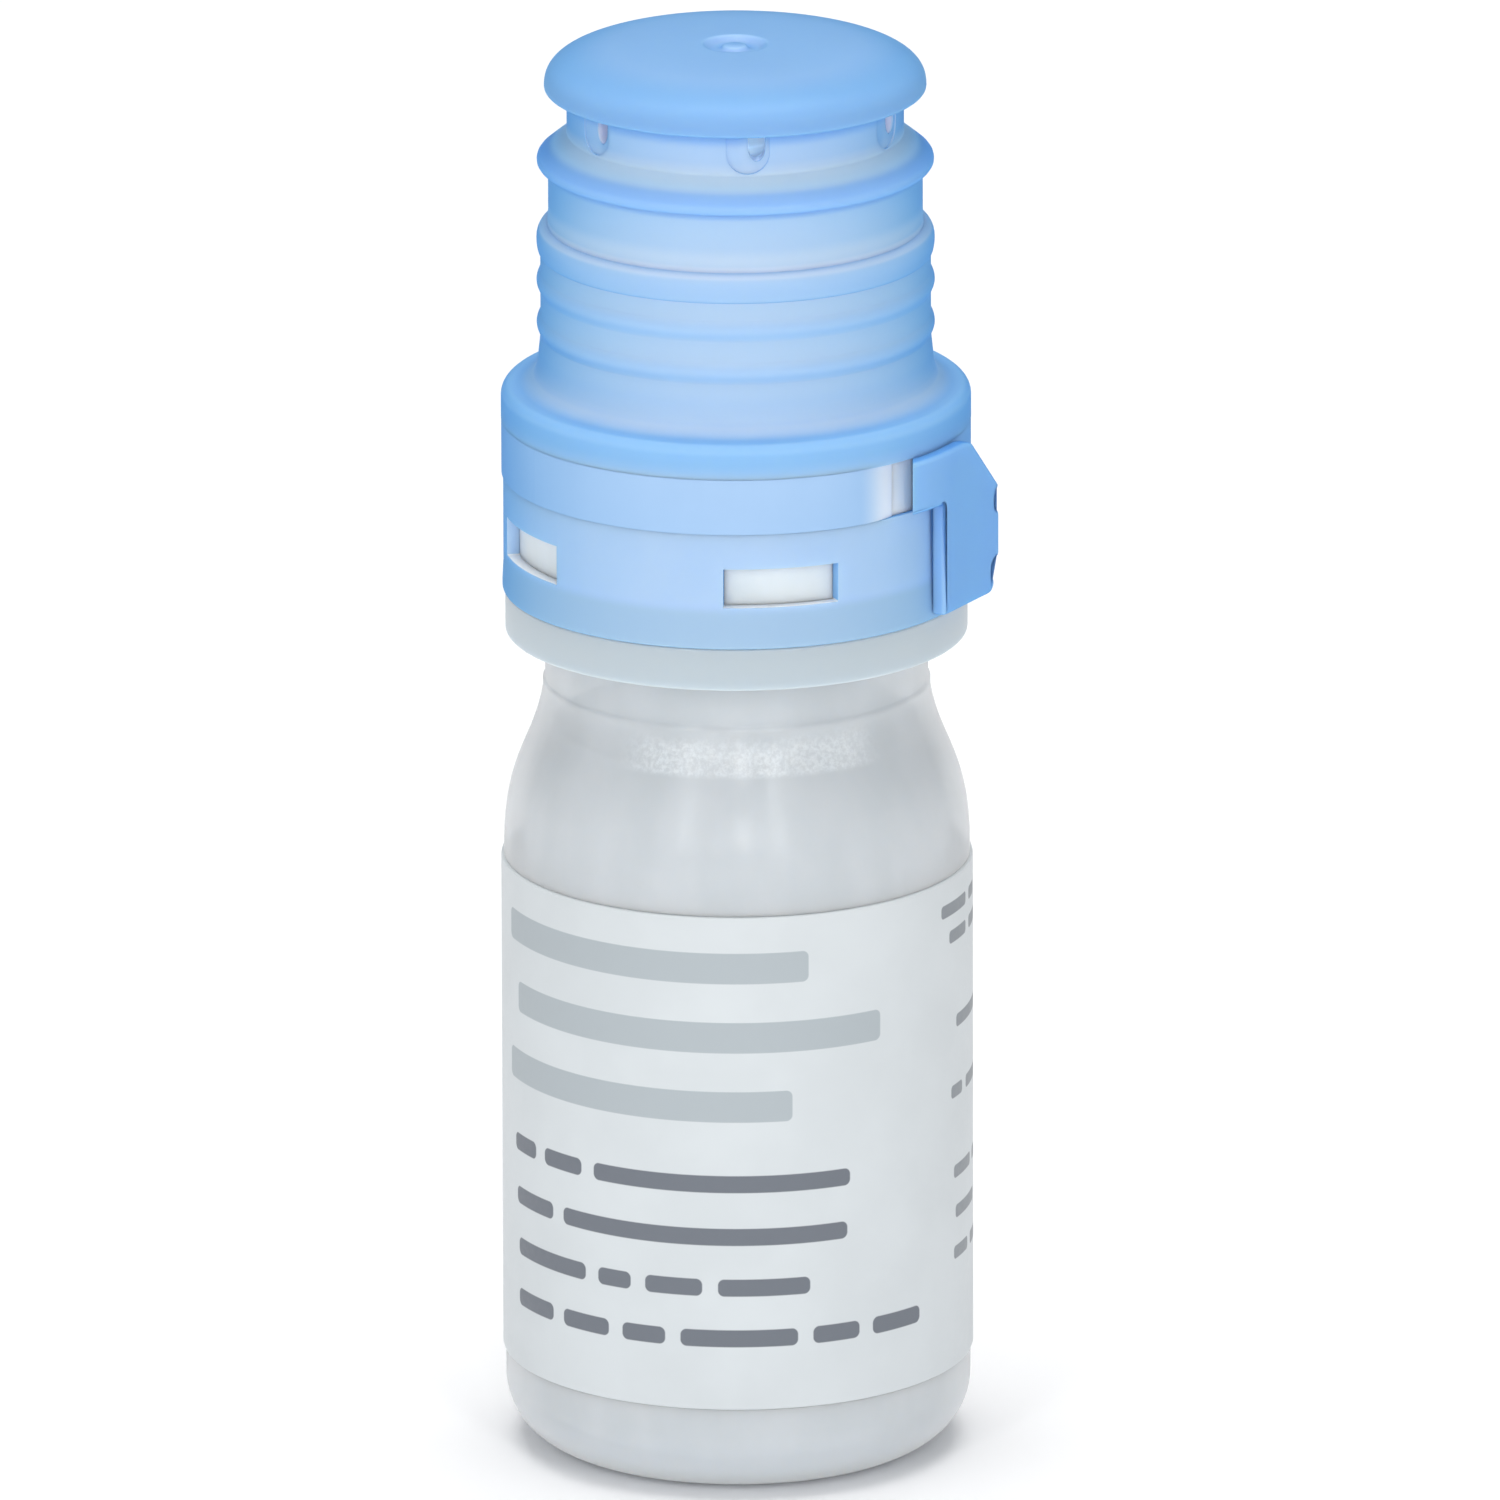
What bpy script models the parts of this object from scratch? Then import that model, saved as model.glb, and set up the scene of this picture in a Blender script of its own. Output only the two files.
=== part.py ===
"""Multi-dose eye drop bottle with a push-on dispenser, a tear strip and a pull-off cap.

Metres, +Z up. The origin is the centre of the face that the bottle stands on. The front is
-Y, and an azimuth is measured from the front towards +X.
"""

import math

import bmesh
import bpy
from mathutils import Matrix, Vector

# Facets
ROUND_STEPS = 40
SMALL_ROUND_STEPS = 20
HOLE_STEPS = 12
SHARP_EDGE_ANGLE = math.radians(35.0)

# Clearances
FACE_GAP = 0.0003
SLIDE_GAP = 0.0003
RING_GAP = 0.00022
TEAR_GAP = 0.0003
LABEL_GAP = 0.0001
CUT_OVERRUN = 0.0006

# Bottle
BODY_PROUD = 0.00011
BODY_WALL = 0.0009
BASE_WALL = 0.0012
BASE_FILLET = 0.0032
BASE_GROOVE_RADIUS = 0.0048
BASE_GROOVE_WIDTH = 0.0010
BASE_GROOVE_DEPTH = 0.0003
SHOULDER_Z = 0.02903
SHOULDER_HEIGHT = 0.0087
SHOULDER_START_SHARE = 0.561
SHOULDER_END_SHARE = 0.444
SHOULDER_LEAN_SHARE = 0.198
NECK_LEDGE = 0.00093
NECK_HEIGHT = 0.0025
NECK_WALL = 0.0011
FINISH_STEP = 0.0007
FINISH_HEIGHT = 0.0055
SNAP_BEAD_HEIGHT = 0.0014
SNAP_BEAD_DEPTH = 0.0005
SNAP_BEAD_BELOW_MOUTH = 0.0018
MOUTH_CHAMFER = 0.0003

# Label
LABEL_ABOVE_FILLET = 0.0015
LABEL_BELOW_SHOULDER = 0.00023
LABEL_THICKNESS = 0.00015
LABEL_PROUD = 0.00013
LABEL_PANEL_MARGIN = 0.00015
LABEL_SEAM_DEG = 6.0

# Dispenser housing
HOUSING_WALL = 0.0009
SKIRT_WALL = 0.00115
COLLAR_INSET = 0.00008
COLLAR_HEIGHT = 0.00172
COLLAR_EDGE = 0.00012
SKIRT_OVERLAP = 0.0004
SNAP_RIDGE_HEIGHT = 0.0008
SNAP_CATCH = 0.0002
DECK_THICKNESS = 0.0012
PLUG_DEPTH = 0.0032
PLUG_WALL = 0.0009
PLUG_CHAMFER = 0.0004
TOWER_ROOM = 0.0013
TOWER_WALL = 0.0010
TOWER_DROP = 0.0044
VENT_CHANNEL = 0.0011
INLET_RADIUS = 0.0012
INLET_FLOOR = 0.0008
VENT_RADIUS = 0.0004
VENT_COUNT = 4
VENT_FIRST_DEG = 49.5
LUG_HEIGHT_GAP = 0.0002
LUG_SIDE_GAP = 0.0002
LUG_PROUD = 0.0001

# Pieces inside the dispenser
GASKET_THICKNESS = 0.0007
GASKET_WIDTH = 0.0010
CHECK_VALVE_THICKNESS = 0.0006
CHECK_VALVE_LIP = 0.0003
INSERT_LENGTH = 0.0054
INSERT_TAIL_ROOM = 0.0012
INSERT_BOSS_WALL = 0.0003
INSERT_BOSS_HEIGHT = 0.0006
FLUTE_COUNT = 4
FLUTE_FIRST_DEG = 9.0
FLUTE_WIDTH = 0.0006
FLUTE_DEPTH = 0.0005
SPRING_CLEARANCE = 0.0002
SPRING_WIRE = 0.0004
SPRING_LENGTH = 0.0058
SPRING_COILS = 5
SPRING_POINTS_PER_COIL = 10
PIN_RADIUS = 0.0009
PIN_TAIL = 0.0013
PIN_FLANGE_MARGIN = 0.0003
PIN_FLANGE_THICKNESS = 0.0008
PIN_NECK_RADIUS = 0.0006
PIN_NECK_LENGTH = 0.0023
SEAL_GAP = 0.00015
SEAL_WALL = 0.0004
SEAL_LENGTH = 0.0030
SEAL_TIP_HEIGHT = 0.0008
SEAL_TIP_RADIUS = 0.0004
FILTER_THICKNESS = 0.0003
RETAINER_THICKNESS = 0.0010
RETAINER_HOLE_RADIUS = 0.0006
RETAINER_HOLE_COUNT = 8
RETAINER_HOLE_FIRST_DEG = 4.5

# Nozzle
NOZZLE_WALL = 0.0009
NOZZLE_FOOT_CLEARANCE = 0.0010
NOZZLE_CHAMBER_GAP = 0.0004
NOZZLE_STEM_WALL = 0.0009
NOZZLE_DOME_SWEEP = 0.0017
NOZZLE_TAPER = 0.00005
NOZZLE_TIP_ROUND = 0.0006
NOZZLE_CUP_RADIUS = 0.0013
NOZZLE_CUP_DEPTH = 0.0003
NOZZLE_LIP = 0.0003
ORIFICE_RADIUS = 0.0003

# Anchor ring
RING_WALL = 0.0007
RING_BEAD = 0.00007
RING_BEAD_HEIGHT = 0.0005
WINDOW_HEIGHT = 0.0019
WINDOW_ABOVE_RING_BOTTOM = 0.00213
WINDOW_SPAN_DEG = 29.0
WINDOW_PITCH_DEG = 76.0
WINDOW_FIRST_DEG = 11.3
WINDOW_COUNT = 4

# Tear strip
STRIP_PROUD = 0.00008
STRIP_HEIGHT = 0.00215
STRIP_LINKS = 9
STRIP_FIXED_END_DEG = 38.5
STRIP_GAP_DEG = 10.0
STRIP_FEATHER_DEG = 7.0
STRIP_FEATHER_WALL = 0.00025
STRIP_STEP_DEG = 7.0
LINK_GAP = 0.0003

# Pull tab
TAB_THICKNESS = 0.00065
TAB_GAP = 0.0003
TAB_STRAIGHT_FROM_DEG = 64.0
TAB_DROP_FROM_DEG = 56.0
TAB_REACH = 0.00366
TAB_CHAMFER_WIDTH = 0.0029
TAB_CHAMFER_DROP = 0.0025
TAB_BOTTOM_LIFT = 0.0004
TAB_NOTCH_SLOPE = 0.0003
TAB_TOP_NOTCH_DEPTH = 0.00034
TAB_TOP_NOTCH_HEIGHT = 0.0006
TAB_TOP_NOTCH_BELOW = 0.0010
TAB_LOW_NOTCH_DEPTH = 0.00065
TAB_LOW_NOTCH_HEIGHT = 0.0005
TAB_LOW_NOTCH_ABOVE = 0.0009
TAB_FOOT_INSET = 0.00046
TAB_STEPS = 4

# Cap
FLANGE_PROUD = 0.00009
FLANGE_HEIGHT = 0.0017
FLANGE_FILLET = 0.00056
CAP_WALL = 0.0009
CAP_TOP_WALL = 0.0014
CAP_SOCKET_DEPTH = 0.00103
CAP_HEADROOM = 0.00329
STEM_INSET = 0.00077
GRIP_VALLEY_DEPTH = 0.0001
UPPER_VALLEY_DEPTH = 0.00048
RIB_COUNT = 3
RIB_PROUD = 0.00008
RIB_FIRST_HEIGHT = 0.0030
RIB_PITCH = 0.00206
RIB_HALF_HEIGHT = 0.00046
TOP_RIB_HALF_HEIGHT = 0.00074
COLLAR_RING_PROUD = 0.00005
COLLAR_RING_DROP = 0.00134
COLLAR_RING_EDGE = 0.00046
COLLAR_RING_CHAMFER = 0.00008
CAP_NECK_INSET = 0.00136
CAP_NECK_LENGTH = 0.00226
DISC_OVERHANG = 0.00108
DISC_EDGE_HEIGHT = 0.0003
DISC_DOME_HEIGHT = 0.00181
DISC_FLAT_SHARE = 0.806
DISC_EDGE_RISE_SHARE = 0.669
DISC_UNDER_SHARE = 0.5
CAP_VENT_COUNT = 6
CAP_VENT_RADIUS = 0.0011
CAP_VENT_FIRST_DEG = 4.3
CAP_VENT_BELOW_DISC = 0.001
GATE_DIMPLE_RADIUS = 0.00155
GATE_DIMPLE_DEPTH = 0.0002
GATE_MARK_RADIUS = 0.0006
GATE_MARK_HEIGHT = 0.00012

# Radii that follow from the sizes above, from the pin outwards
INSERT_BORE_RADIUS = PIN_RADIUS + SLIDE_GAP
INSERT_BOSS_RADIUS = INSERT_BORE_RADIUS + INSERT_BOSS_WALL
SPRING_RADIUS = INSERT_BOSS_RADIUS + SPRING_CLEARANCE + SPRING_WIRE / 2
PIN_FLANGE_RADIUS = SPRING_RADIUS + SPRING_WIRE / 2 + PIN_FLANGE_MARGIN
SEAL_RADIUS = PIN_NECK_RADIUS + SEAL_GAP + SEAL_WALL
CHAMBER_RADIUS = PIN_FLANGE_RADIUS + NOZZLE_CHAMBER_GAP
NOZZLE_BORE_RADIUS = SEAL_RADIUS + NOZZLE_CHAMBER_GAP
NOZZLE_STEM_RADIUS = NOZZLE_BORE_RADIUS + NOZZLE_STEM_WALL
NOZZLE_TIP_RADIUS = NOZZLE_STEM_RADIUS - NOZZLE_TAPER
TOWER_BORE_RADIUS = PIN_FLANGE_RADIUS + TOWER_ROOM
TOWER_RADIUS = TOWER_BORE_RADIUS + TOWER_WALL
INSERT_RADIUS = TOWER_BORE_RADIUS - SLIDE_GAP
NOZZLE_SKIRT_BORE = TOWER_RADIUS + SLIDE_GAP
NOZZLE_SKIRT_RADIUS = NOZZLE_SKIRT_BORE + NOZZLE_WALL
PLUG_BORE_RADIUS = TOWER_RADIUS + VENT_CHANNEL
PLUG_RADIUS = PLUG_BORE_RADIUS + PLUG_WALL
MOUTH_RADIUS = PLUG_RADIUS + SLIDE_GAP
FINISH_RADIUS = MOUTH_RADIUS + NECK_WALL
NECK_RADIUS = FINISH_RADIUS + NECK_LEDGE
SNAP_BEAD_RADIUS = FINISH_RADIUS + SNAP_BEAD_DEPTH
RIDGE_RADIUS = SNAP_BEAD_RADIUS - SNAP_CATCH
SKIRT_BAND_RADIUS = SNAP_BEAD_RADIUS + SLIDE_GAP
SKIRT_BORE_RADIUS = NECK_RADIUS + SLIDE_GAP
HOUSING_RADIUS = SKIRT_BAND_RADIUS + SKIRT_WALL
RIM_BORE_RADIUS = HOUSING_RADIUS - HOUSING_WALL
RING_BORE_RADIUS = HOUSING_RADIUS + RING_GAP
RING_RADIUS = RING_BORE_RADIUS + RING_WALL
COLLAR_RADIUS = RING_RADIUS - COLLAR_INSET
BODY_RADIUS = COLLAR_RADIUS + BODY_PROUD
PANEL_RADIUS = BODY_RADIUS + LABEL_PROUD - LABEL_THICKNESS - LABEL_GAP
STRIP_RADIUS = RING_RADIUS + STRIP_PROUD
STRIP_MID_RADIUS = (RING_BORE_RADIUS + STRIP_RADIUS) / 2
TAB_RADIUS = STRIP_RADIUS + TAB_GAP
FLANGE_RADIUS = RING_RADIUS + FLANGE_PROUD
STEM_RADIUS = HOUSING_RADIUS - STEM_INSET
VALLEY_RADIUS = STEM_RADIUS - GRIP_VALLEY_DEPTH
UPPER_VALLEY_RADIUS = STEM_RADIUS - UPPER_VALLEY_DEPTH
RIB_RADIUS = STEM_RADIUS + RIB_PROUD
COLLAR_RING_RADIUS = STEM_RADIUS + COLLAR_RING_PROUD
CAP_NECK_RADIUS = STEM_RADIUS - CAP_NECK_INSET
CAP_BORE_RADIUS = STEM_RADIUS - CAP_WALL
CAP_NECK_BORE_RADIUS = CAP_NECK_RADIUS - CAP_WALL
DISC_RADIUS = CAP_NECK_RADIUS + DISC_OVERHANG

# Levels that follow from the sizes above, from the base upwards
LABEL_BOTTOM_Z = BASE_FILLET + LABEL_ABOVE_FILLET
LABEL_TOP_Z = SHOULDER_Z - LABEL_BELOW_SHOULDER
NECK_Z = SHOULDER_Z + SHOULDER_HEIGHT
FINISH_Z = NECK_Z + NECK_HEIGHT
SKIRT_Z = FINISH_Z - SKIRT_OVERLAP
LEDGE_Z = SKIRT_Z + COLLAR_HEIGHT
MOUTH_Z = FINISH_Z + FINISH_STEP + FINISH_HEIGHT
SNAP_BEAD_Z = MOUTH_Z - SNAP_BEAD_BELOW_MOUTH - SNAP_BEAD_HEIGHT
GASKET_Z = MOUTH_Z + FACE_GAP
DECK_UNDER_Z = GASKET_Z + GASKET_THICKNESS + FACE_GAP
DECK_Z = DECK_UNDER_Z + DECK_THICKNESS
FILTER_Z = DECK_Z + FACE_GAP
RETAINER_Z = FILTER_Z + FILTER_THICKNESS + FACE_GAP
RIM_Z = RETAINER_Z + RETAINER_THICKNESS
TOWER_FOOT_Z = DECK_UNDER_Z - TOWER_DROP
INLET_FLOOR_Z = TOWER_FOOT_Z + INLET_FLOOR
CHECK_VALVE_Z = INLET_FLOOR_Z + FACE_GAP
INSERT_Z = CHECK_VALVE_Z + CHECK_VALVE_THICKNESS + FACE_GAP
INSERT_TOP_Z = INSERT_Z + INSERT_LENGTH
SPRING_Z = INSERT_TOP_Z + FACE_GAP
SPRING_TOP_Z = SPRING_Z + SPRING_LENGTH
PIN_FLANGE_Z = SPRING_TOP_Z + FACE_GAP
PIN_SHOULDER_Z = PIN_FLANGE_Z + PIN_FLANGE_THICKNESS
TOWER_TOP_Z = PIN_FLANGE_Z
CHAMBER_Z = TOWER_TOP_Z + FACE_GAP
CHAMBER_TOP_Z = PIN_SHOULDER_Z + NOZZLE_CHAMBER_GAP
SEAL_Z = CHAMBER_TOP_Z + PIN_RADIUS
PIN_STEM_Z = SEAL_Z - SEAL_GAP
PIN_TOP_Z = PIN_STEM_Z + PIN_NECK_LENGTH
SEAL_SHOULDER_Z = SEAL_Z + SEAL_LENGTH
SEAL_TOP_Z = SEAL_SHOULDER_Z + SEAL_TIP_HEIGHT
NOZZLE_FOOT_Z = RIM_Z + NOZZLE_FOOT_CLEARANCE
NOZZLE_SEAT_Z = SEAL_SHOULDER_Z + SEAL_GAP
NOZZLE_THROAT_Z = SEAL_TOP_Z + SEAL_GAP
NOZZLE_TOP_Z = NOZZLE_THROAT_Z + NOZZLE_LIP + NOZZLE_CUP_DEPTH
CAP_LEDGE_Z = RIM_Z + FACE_GAP
CAP_Z = CAP_LEDGE_Z - CAP_SOCKET_DEPTH
FLANGE_TOP_Z = CAP_Z + FLANGE_HEIGHT
CAP_CEILING_Z = NOZZLE_TOP_Z + CAP_HEADROOM
DISC_TOP_Z = CAP_CEILING_Z + CAP_TOP_WALL
DISC_EQUATOR_Z = DISC_TOP_Z - DISC_DOME_HEIGHT
DISC_UNDER_Z = DISC_EQUATOR_Z - DISC_EDGE_HEIGHT
CAP_NECK_Z = DISC_UNDER_Z - CAP_NECK_LENGTH
COLLAR_RING_Z = CAP_NECK_Z - COLLAR_RING_DROP
STRIP_TOP_Z = CAP_Z - TEAR_GAP
STRIP_Z = STRIP_TOP_Z - STRIP_HEIGHT
RING_Z = LEDGE_Z + RING_GAP
RING_TOP_Z = STRIP_Z - TEAR_GAP
WINDOW_Z = RING_Z + WINDOW_ABOVE_RING_BOTTOM

# Turns that follow from the sizes above
STRIP_TURN_DEG = (360.0 - STRIP_GAP_DEG) / STRIP_LINKS
TAB_ROOT_DEG = STRIP_FIXED_END_DEG + STRIP_GAP_DEG


def clear_scene():
    """Remove every object that the scene holds."""
    for old in list(bpy.data.objects):
        bpy.data.objects.remove(old, do_unlink=True)


def material(name, color, roughness, metallic=0.0):
    """One Principled material."""
    made = bpy.data.materials.new(name)
    made.use_nodes = True
    shader = made.node_tree.nodes["Principled BSDF"]
    shader.inputs["Base Color"].default_value = (*color, 1.0)
    shader.inputs["Roughness"].default_value = roughness
    shader.inputs["Metallic"].default_value = metallic
    made.diffuse_color = (*color, 1.0)
    return made


def around(radius, azimuth_deg, height=0.0):
    """The point at a radius and an azimuth, measured from the front towards +X."""
    turn = math.radians(azimuth_deg)
    return Vector((radius * math.sin(turn), -radius * math.cos(turn), height))


def finish(name, mesh_data, look, smooth=True):
    """Turn a bmesh into a named object with its material and shading."""
    bmesh.ops.recalc_face_normals(mesh_data, faces=mesh_data.faces)
    mesh = bpy.data.meshes.new(name)
    mesh_data.to_mesh(mesh)
    mesh_data.free()
    mesh.materials.append(look)
    if smooth:
        mesh.shade_smooth()
        mesh.set_sharp_from_angle(angle=SHARP_EDGE_ANGLE)
    made = bpy.data.objects.new(name, mesh)
    bpy.context.collection.objects.link(made)
    return made


def turned(name, outline, look, steps=ROUND_STEPS):
    """Turn an outline of (radius, height) points round the Z axis.

    An outline that starts and ends on the axis is closed by the axis; any other one is
    closed by joining its last point to its first.
    """
    shape = bmesh.new()
    rings = []
    for radius, height in outline:
        if radius == 0:
            rings.append([shape.verts.new((0, 0, height))])
        else:
            turns = range(steps)
            rings.append([shape.verts.new(around(radius, 360.0 * k / steps, height)) for k in turns])
    pairs = list(zip(rings, rings[1:]))
    if outline[0][0] != 0:
        pairs.append((rings[-1], rings[0]))
    for lower, upper in pairs:
        for k in range(steps):
            after = (k + 1) % steps
            corners = [lower[k % len(lower)], lower[after % len(lower)]]
            corners += [upper[after % len(upper)], upper[k % len(upper)]]
            shape.faces.new(list(dict.fromkeys(corners)))
    return finish(name, shape, look)


def sector(name, inner, outer, low, high, start_deg, end_deg, look, step_deg=STRIP_STEP_DEG):
    """A piece of a ring between two azimuths, with radial ends. The radii may be functions."""
    count = max(1, math.ceil(abs(end_deg - start_deg) / step_deg))
    shape = bmesh.new()
    slices = []
    for k in range(count + 1):
        azimuth = start_deg + (end_deg - start_deg) * k / count
        near = inner(azimuth) if callable(inner) else inner
        far = outer(azimuth) if callable(outer) else outer
        corners = ((near, low), (far, low), (far, high), (near, high))
        slices.append([shape.verts.new(around(r, azimuth, z)) for r, z in corners])
    for one, two in zip(slices, slices[1:]):
        for k in range(4):
            after = (k + 1) % 4
            shape.faces.new((one[k], one[after], two[after], two[k]))
    shape.faces.new(slices[0])
    shape.faces.new(slices[-1])
    return finish(name, shape, look)


def rod(name, radius, start, end, look, steps=HOLE_STEPS):
    """A plain round bar between two points, used as a cutter."""
    shape = bmesh.new()
    along = end - start
    turn = Vector((0, 0, 1)).rotation_difference(along).to_matrix().to_4x4()
    middle = Matrix.Translation((start + end) / 2)
    bmesh.ops.create_cone(
        shape, cap_ends=True, segments=steps, radius1=radius, radius2=radius,
        depth=along.length, matrix=middle @ turn)
    return finish(name, shape, look, smooth=False)


def combine(target, tool, operation):
    """Cut the tool from the target, or join it to the target, and drop the tool."""
    modifier = target.modifiers.new(tool.name, "BOOLEAN")
    modifier.operation = operation
    modifier.solver = "EXACT"
    modifier.object = tool
    with bpy.context.temp_override(object=target, active_object=target):
        bpy.ops.object.modifier_apply(modifier=modifier.name)
    bpy.data.objects.remove(tool, do_unlink=True)
    target.data.shade_smooth()
    target.data.set_sharp_from_angle(angle=SHARP_EDGE_ANGLE)


def curve_points(start, first_pull, last_pull, end, steps):
    """Points of a cubic curve after its start, up to and with its end."""
    points = []
    for k in range(1, steps + 1):
        t = k / steps
        rest = 1 - t
        weights = (rest ** 3, 3 * rest ** 2 * t, 3 * rest * t ** 2, t ** 3)
        spots = (start, first_pull, last_pull, end)
        points.append(tuple(sum(w * s[axis] for w, s in zip(weights, spots)) for axis in (0, 1)))
    return points


def arc_points(centre, radius, start_deg, end_deg, steps):
    """Points of an arc in the outline plane, with both ends."""
    points = []
    for k in range(steps + 1):
        turn = math.radians(start_deg + (end_deg - start_deg) * k / steps)
        points.append((centre[0] + radius * math.cos(turn), centre[1] + radius * math.sin(turn)))
    return points


def shoulder_curve(low_radius, high_radius, steps):
    """The shoulder from the straight side up to the neck."""
    start = (low_radius, SHOULDER_Z)
    first_pull = (low_radius, SHOULDER_Z + SHOULDER_HEIGHT * SHOULDER_START_SHARE)
    lean = (low_radius - high_radius) * SHOULDER_LEAN_SHARE
    last_pull = (high_radius + lean, NECK_Z - SHOULDER_HEIGHT * SHOULDER_END_SHARE)
    return curve_points(start, first_pull, last_pull, (high_radius, NECK_Z), steps)


def make_bottle(look):
    """Squeeze bottle: grooved base, recessed label panel, shoulder and a neck finish with a snap bead."""
    groove_out = BASE_GROOVE_RADIUS + BASE_GROOVE_WIDTH / 2
    groove_in = BASE_GROOVE_RADIUS - BASE_GROOVE_WIDTH / 2
    panel_low = LABEL_BOTTOM_Z - LABEL_PANEL_MARGIN
    panel_high = LABEL_TOP_Z + LABEL_PANEL_MARGIN
    step = BODY_RADIUS - PANEL_RADIUS
    outside = [(0, 0), (groove_in, 0), (BASE_GROOVE_RADIUS, BASE_GROOVE_DEPTH), (groove_out, 0)]
    base_centre = (BODY_RADIUS - BASE_FILLET, BASE_FILLET)
    outside += arc_points(base_centre, BASE_FILLET, -90, 0, 5)
    outside += [(BODY_RADIUS, panel_low - step), (PANEL_RADIUS, panel_low)]
    outside += [(PANEL_RADIUS, panel_high), (BODY_RADIUS, panel_high + step)]
    outside += shoulder_curve(BODY_RADIUS, NECK_RADIUS, 9)
    outside += [(NECK_RADIUS, FINISH_Z), (FINISH_RADIUS, FINISH_Z + FINISH_STEP)]
    outside += [(FINISH_RADIUS, SNAP_BEAD_Z), (SNAP_BEAD_RADIUS, SNAP_BEAD_Z + MOUTH_CHAMFER)]
    outside += [(SNAP_BEAD_RADIUS, SNAP_BEAD_Z + SNAP_BEAD_HEIGHT / 2)]
    outside += [(FINISH_RADIUS, SNAP_BEAD_Z + SNAP_BEAD_HEIGHT)]
    outside += [(FINISH_RADIUS, MOUTH_Z - MOUTH_CHAMFER), (FINISH_RADIUS - MOUTH_CHAMFER, MOUTH_Z)]
    inner_radius = BODY_RADIUS - BODY_WALL
    inside = [(0, BASE_WALL)]
    inside_round = BASE_FILLET - BODY_WALL
    inside += arc_points((inner_radius - inside_round, BASE_WALL + inside_round), inside_round, -90, 0, 4)
    inside += shoulder_curve(inner_radius, NECK_RADIUS - NECK_WALL, 6)
    inside += [(NECK_RADIUS - NECK_WALL, FINISH_Z), (MOUTH_RADIUS, FINISH_Z + FINISH_STEP)]
    inside += [(MOUTH_RADIUS, MOUTH_Z)]
    return turned("bottle", outside + inside[::-1], look)


def make_label(look):
    """Wrap label in the bottle's panel, open by a narrow seam at the back."""
    inner = PANEL_RADIUS + LABEL_GAP
    outer = inner + LABEL_THICKNESS
    start = 180.0 + LABEL_SEAM_DEG / 2 - 360.0
    end = 180.0 - LABEL_SEAM_DEG / 2
    step = 360.0 / ROUND_STEPS
    return sector("label", inner, outer, LABEL_BOTTOM_Z, LABEL_TOP_Z, start, end, look, step)


def housing_outline():
    """Half section of the housing: collar, skirt, neck plug, valve tower, deck and rim."""
    ridge_top = SNAP_BEAD_Z - FACE_GAP
    ridge_low = ridge_top - SNAP_RIDGE_HEIGHT
    ridge_depth = SKIRT_BAND_RADIUS - RIDGE_RADIUS
    bore_top = ridge_low - (SKIRT_BORE_RADIUS - RIDGE_RADIUS)
    plug_low = DECK_UNDER_Z - PLUG_DEPTH
    points = [(RIM_BORE_RADIUS, RIM_Z), (HOUSING_RADIUS, RIM_Z), (HOUSING_RADIUS, LEDGE_Z)]
    points += [(COLLAR_RADIUS - COLLAR_EDGE, LEDGE_Z), (COLLAR_RADIUS, LEDGE_Z - COLLAR_EDGE)]
    points += [(COLLAR_RADIUS, SKIRT_Z + COLLAR_EDGE), (COLLAR_RADIUS - COLLAR_EDGE, SKIRT_Z)]
    points += [(SKIRT_BORE_RADIUS, SKIRT_Z), (SKIRT_BORE_RADIUS, bore_top)]
    points += [(RIDGE_RADIUS, ridge_low), (RIDGE_RADIUS, ridge_top - ridge_depth / 2)]
    points += [(SKIRT_BAND_RADIUS, ridge_top), (SKIRT_BAND_RADIUS, DECK_UNDER_Z)]
    points += [(PLUG_RADIUS, DECK_UNDER_Z), (PLUG_RADIUS, plug_low + PLUG_CHAMFER)]
    points += [(PLUG_RADIUS - PLUG_CHAMFER, plug_low), (PLUG_BORE_RADIUS, plug_low)]
    points += [(PLUG_BORE_RADIUS, DECK_UNDER_Z), (TOWER_RADIUS, DECK_UNDER_Z)]
    points += [(TOWER_RADIUS, TOWER_FOOT_Z), (INLET_RADIUS, TOWER_FOOT_Z)]
    points += [(INLET_RADIUS, INLET_FLOOR_Z), (TOWER_BORE_RADIUS, INLET_FLOOR_Z)]
    points += [(TOWER_BORE_RADIUS, TOWER_TOP_Z), (TOWER_RADIUS, TOWER_TOP_Z)]
    points += [(TOWER_RADIUS, DECK_Z), (RIM_BORE_RADIUS, DECK_Z)]
    return points


def window_centre_deg(index):
    """Azimuth of a window of the anchor ring."""
    return WINDOW_FIRST_DEG - WINDOW_PITCH_DEG * index


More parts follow.
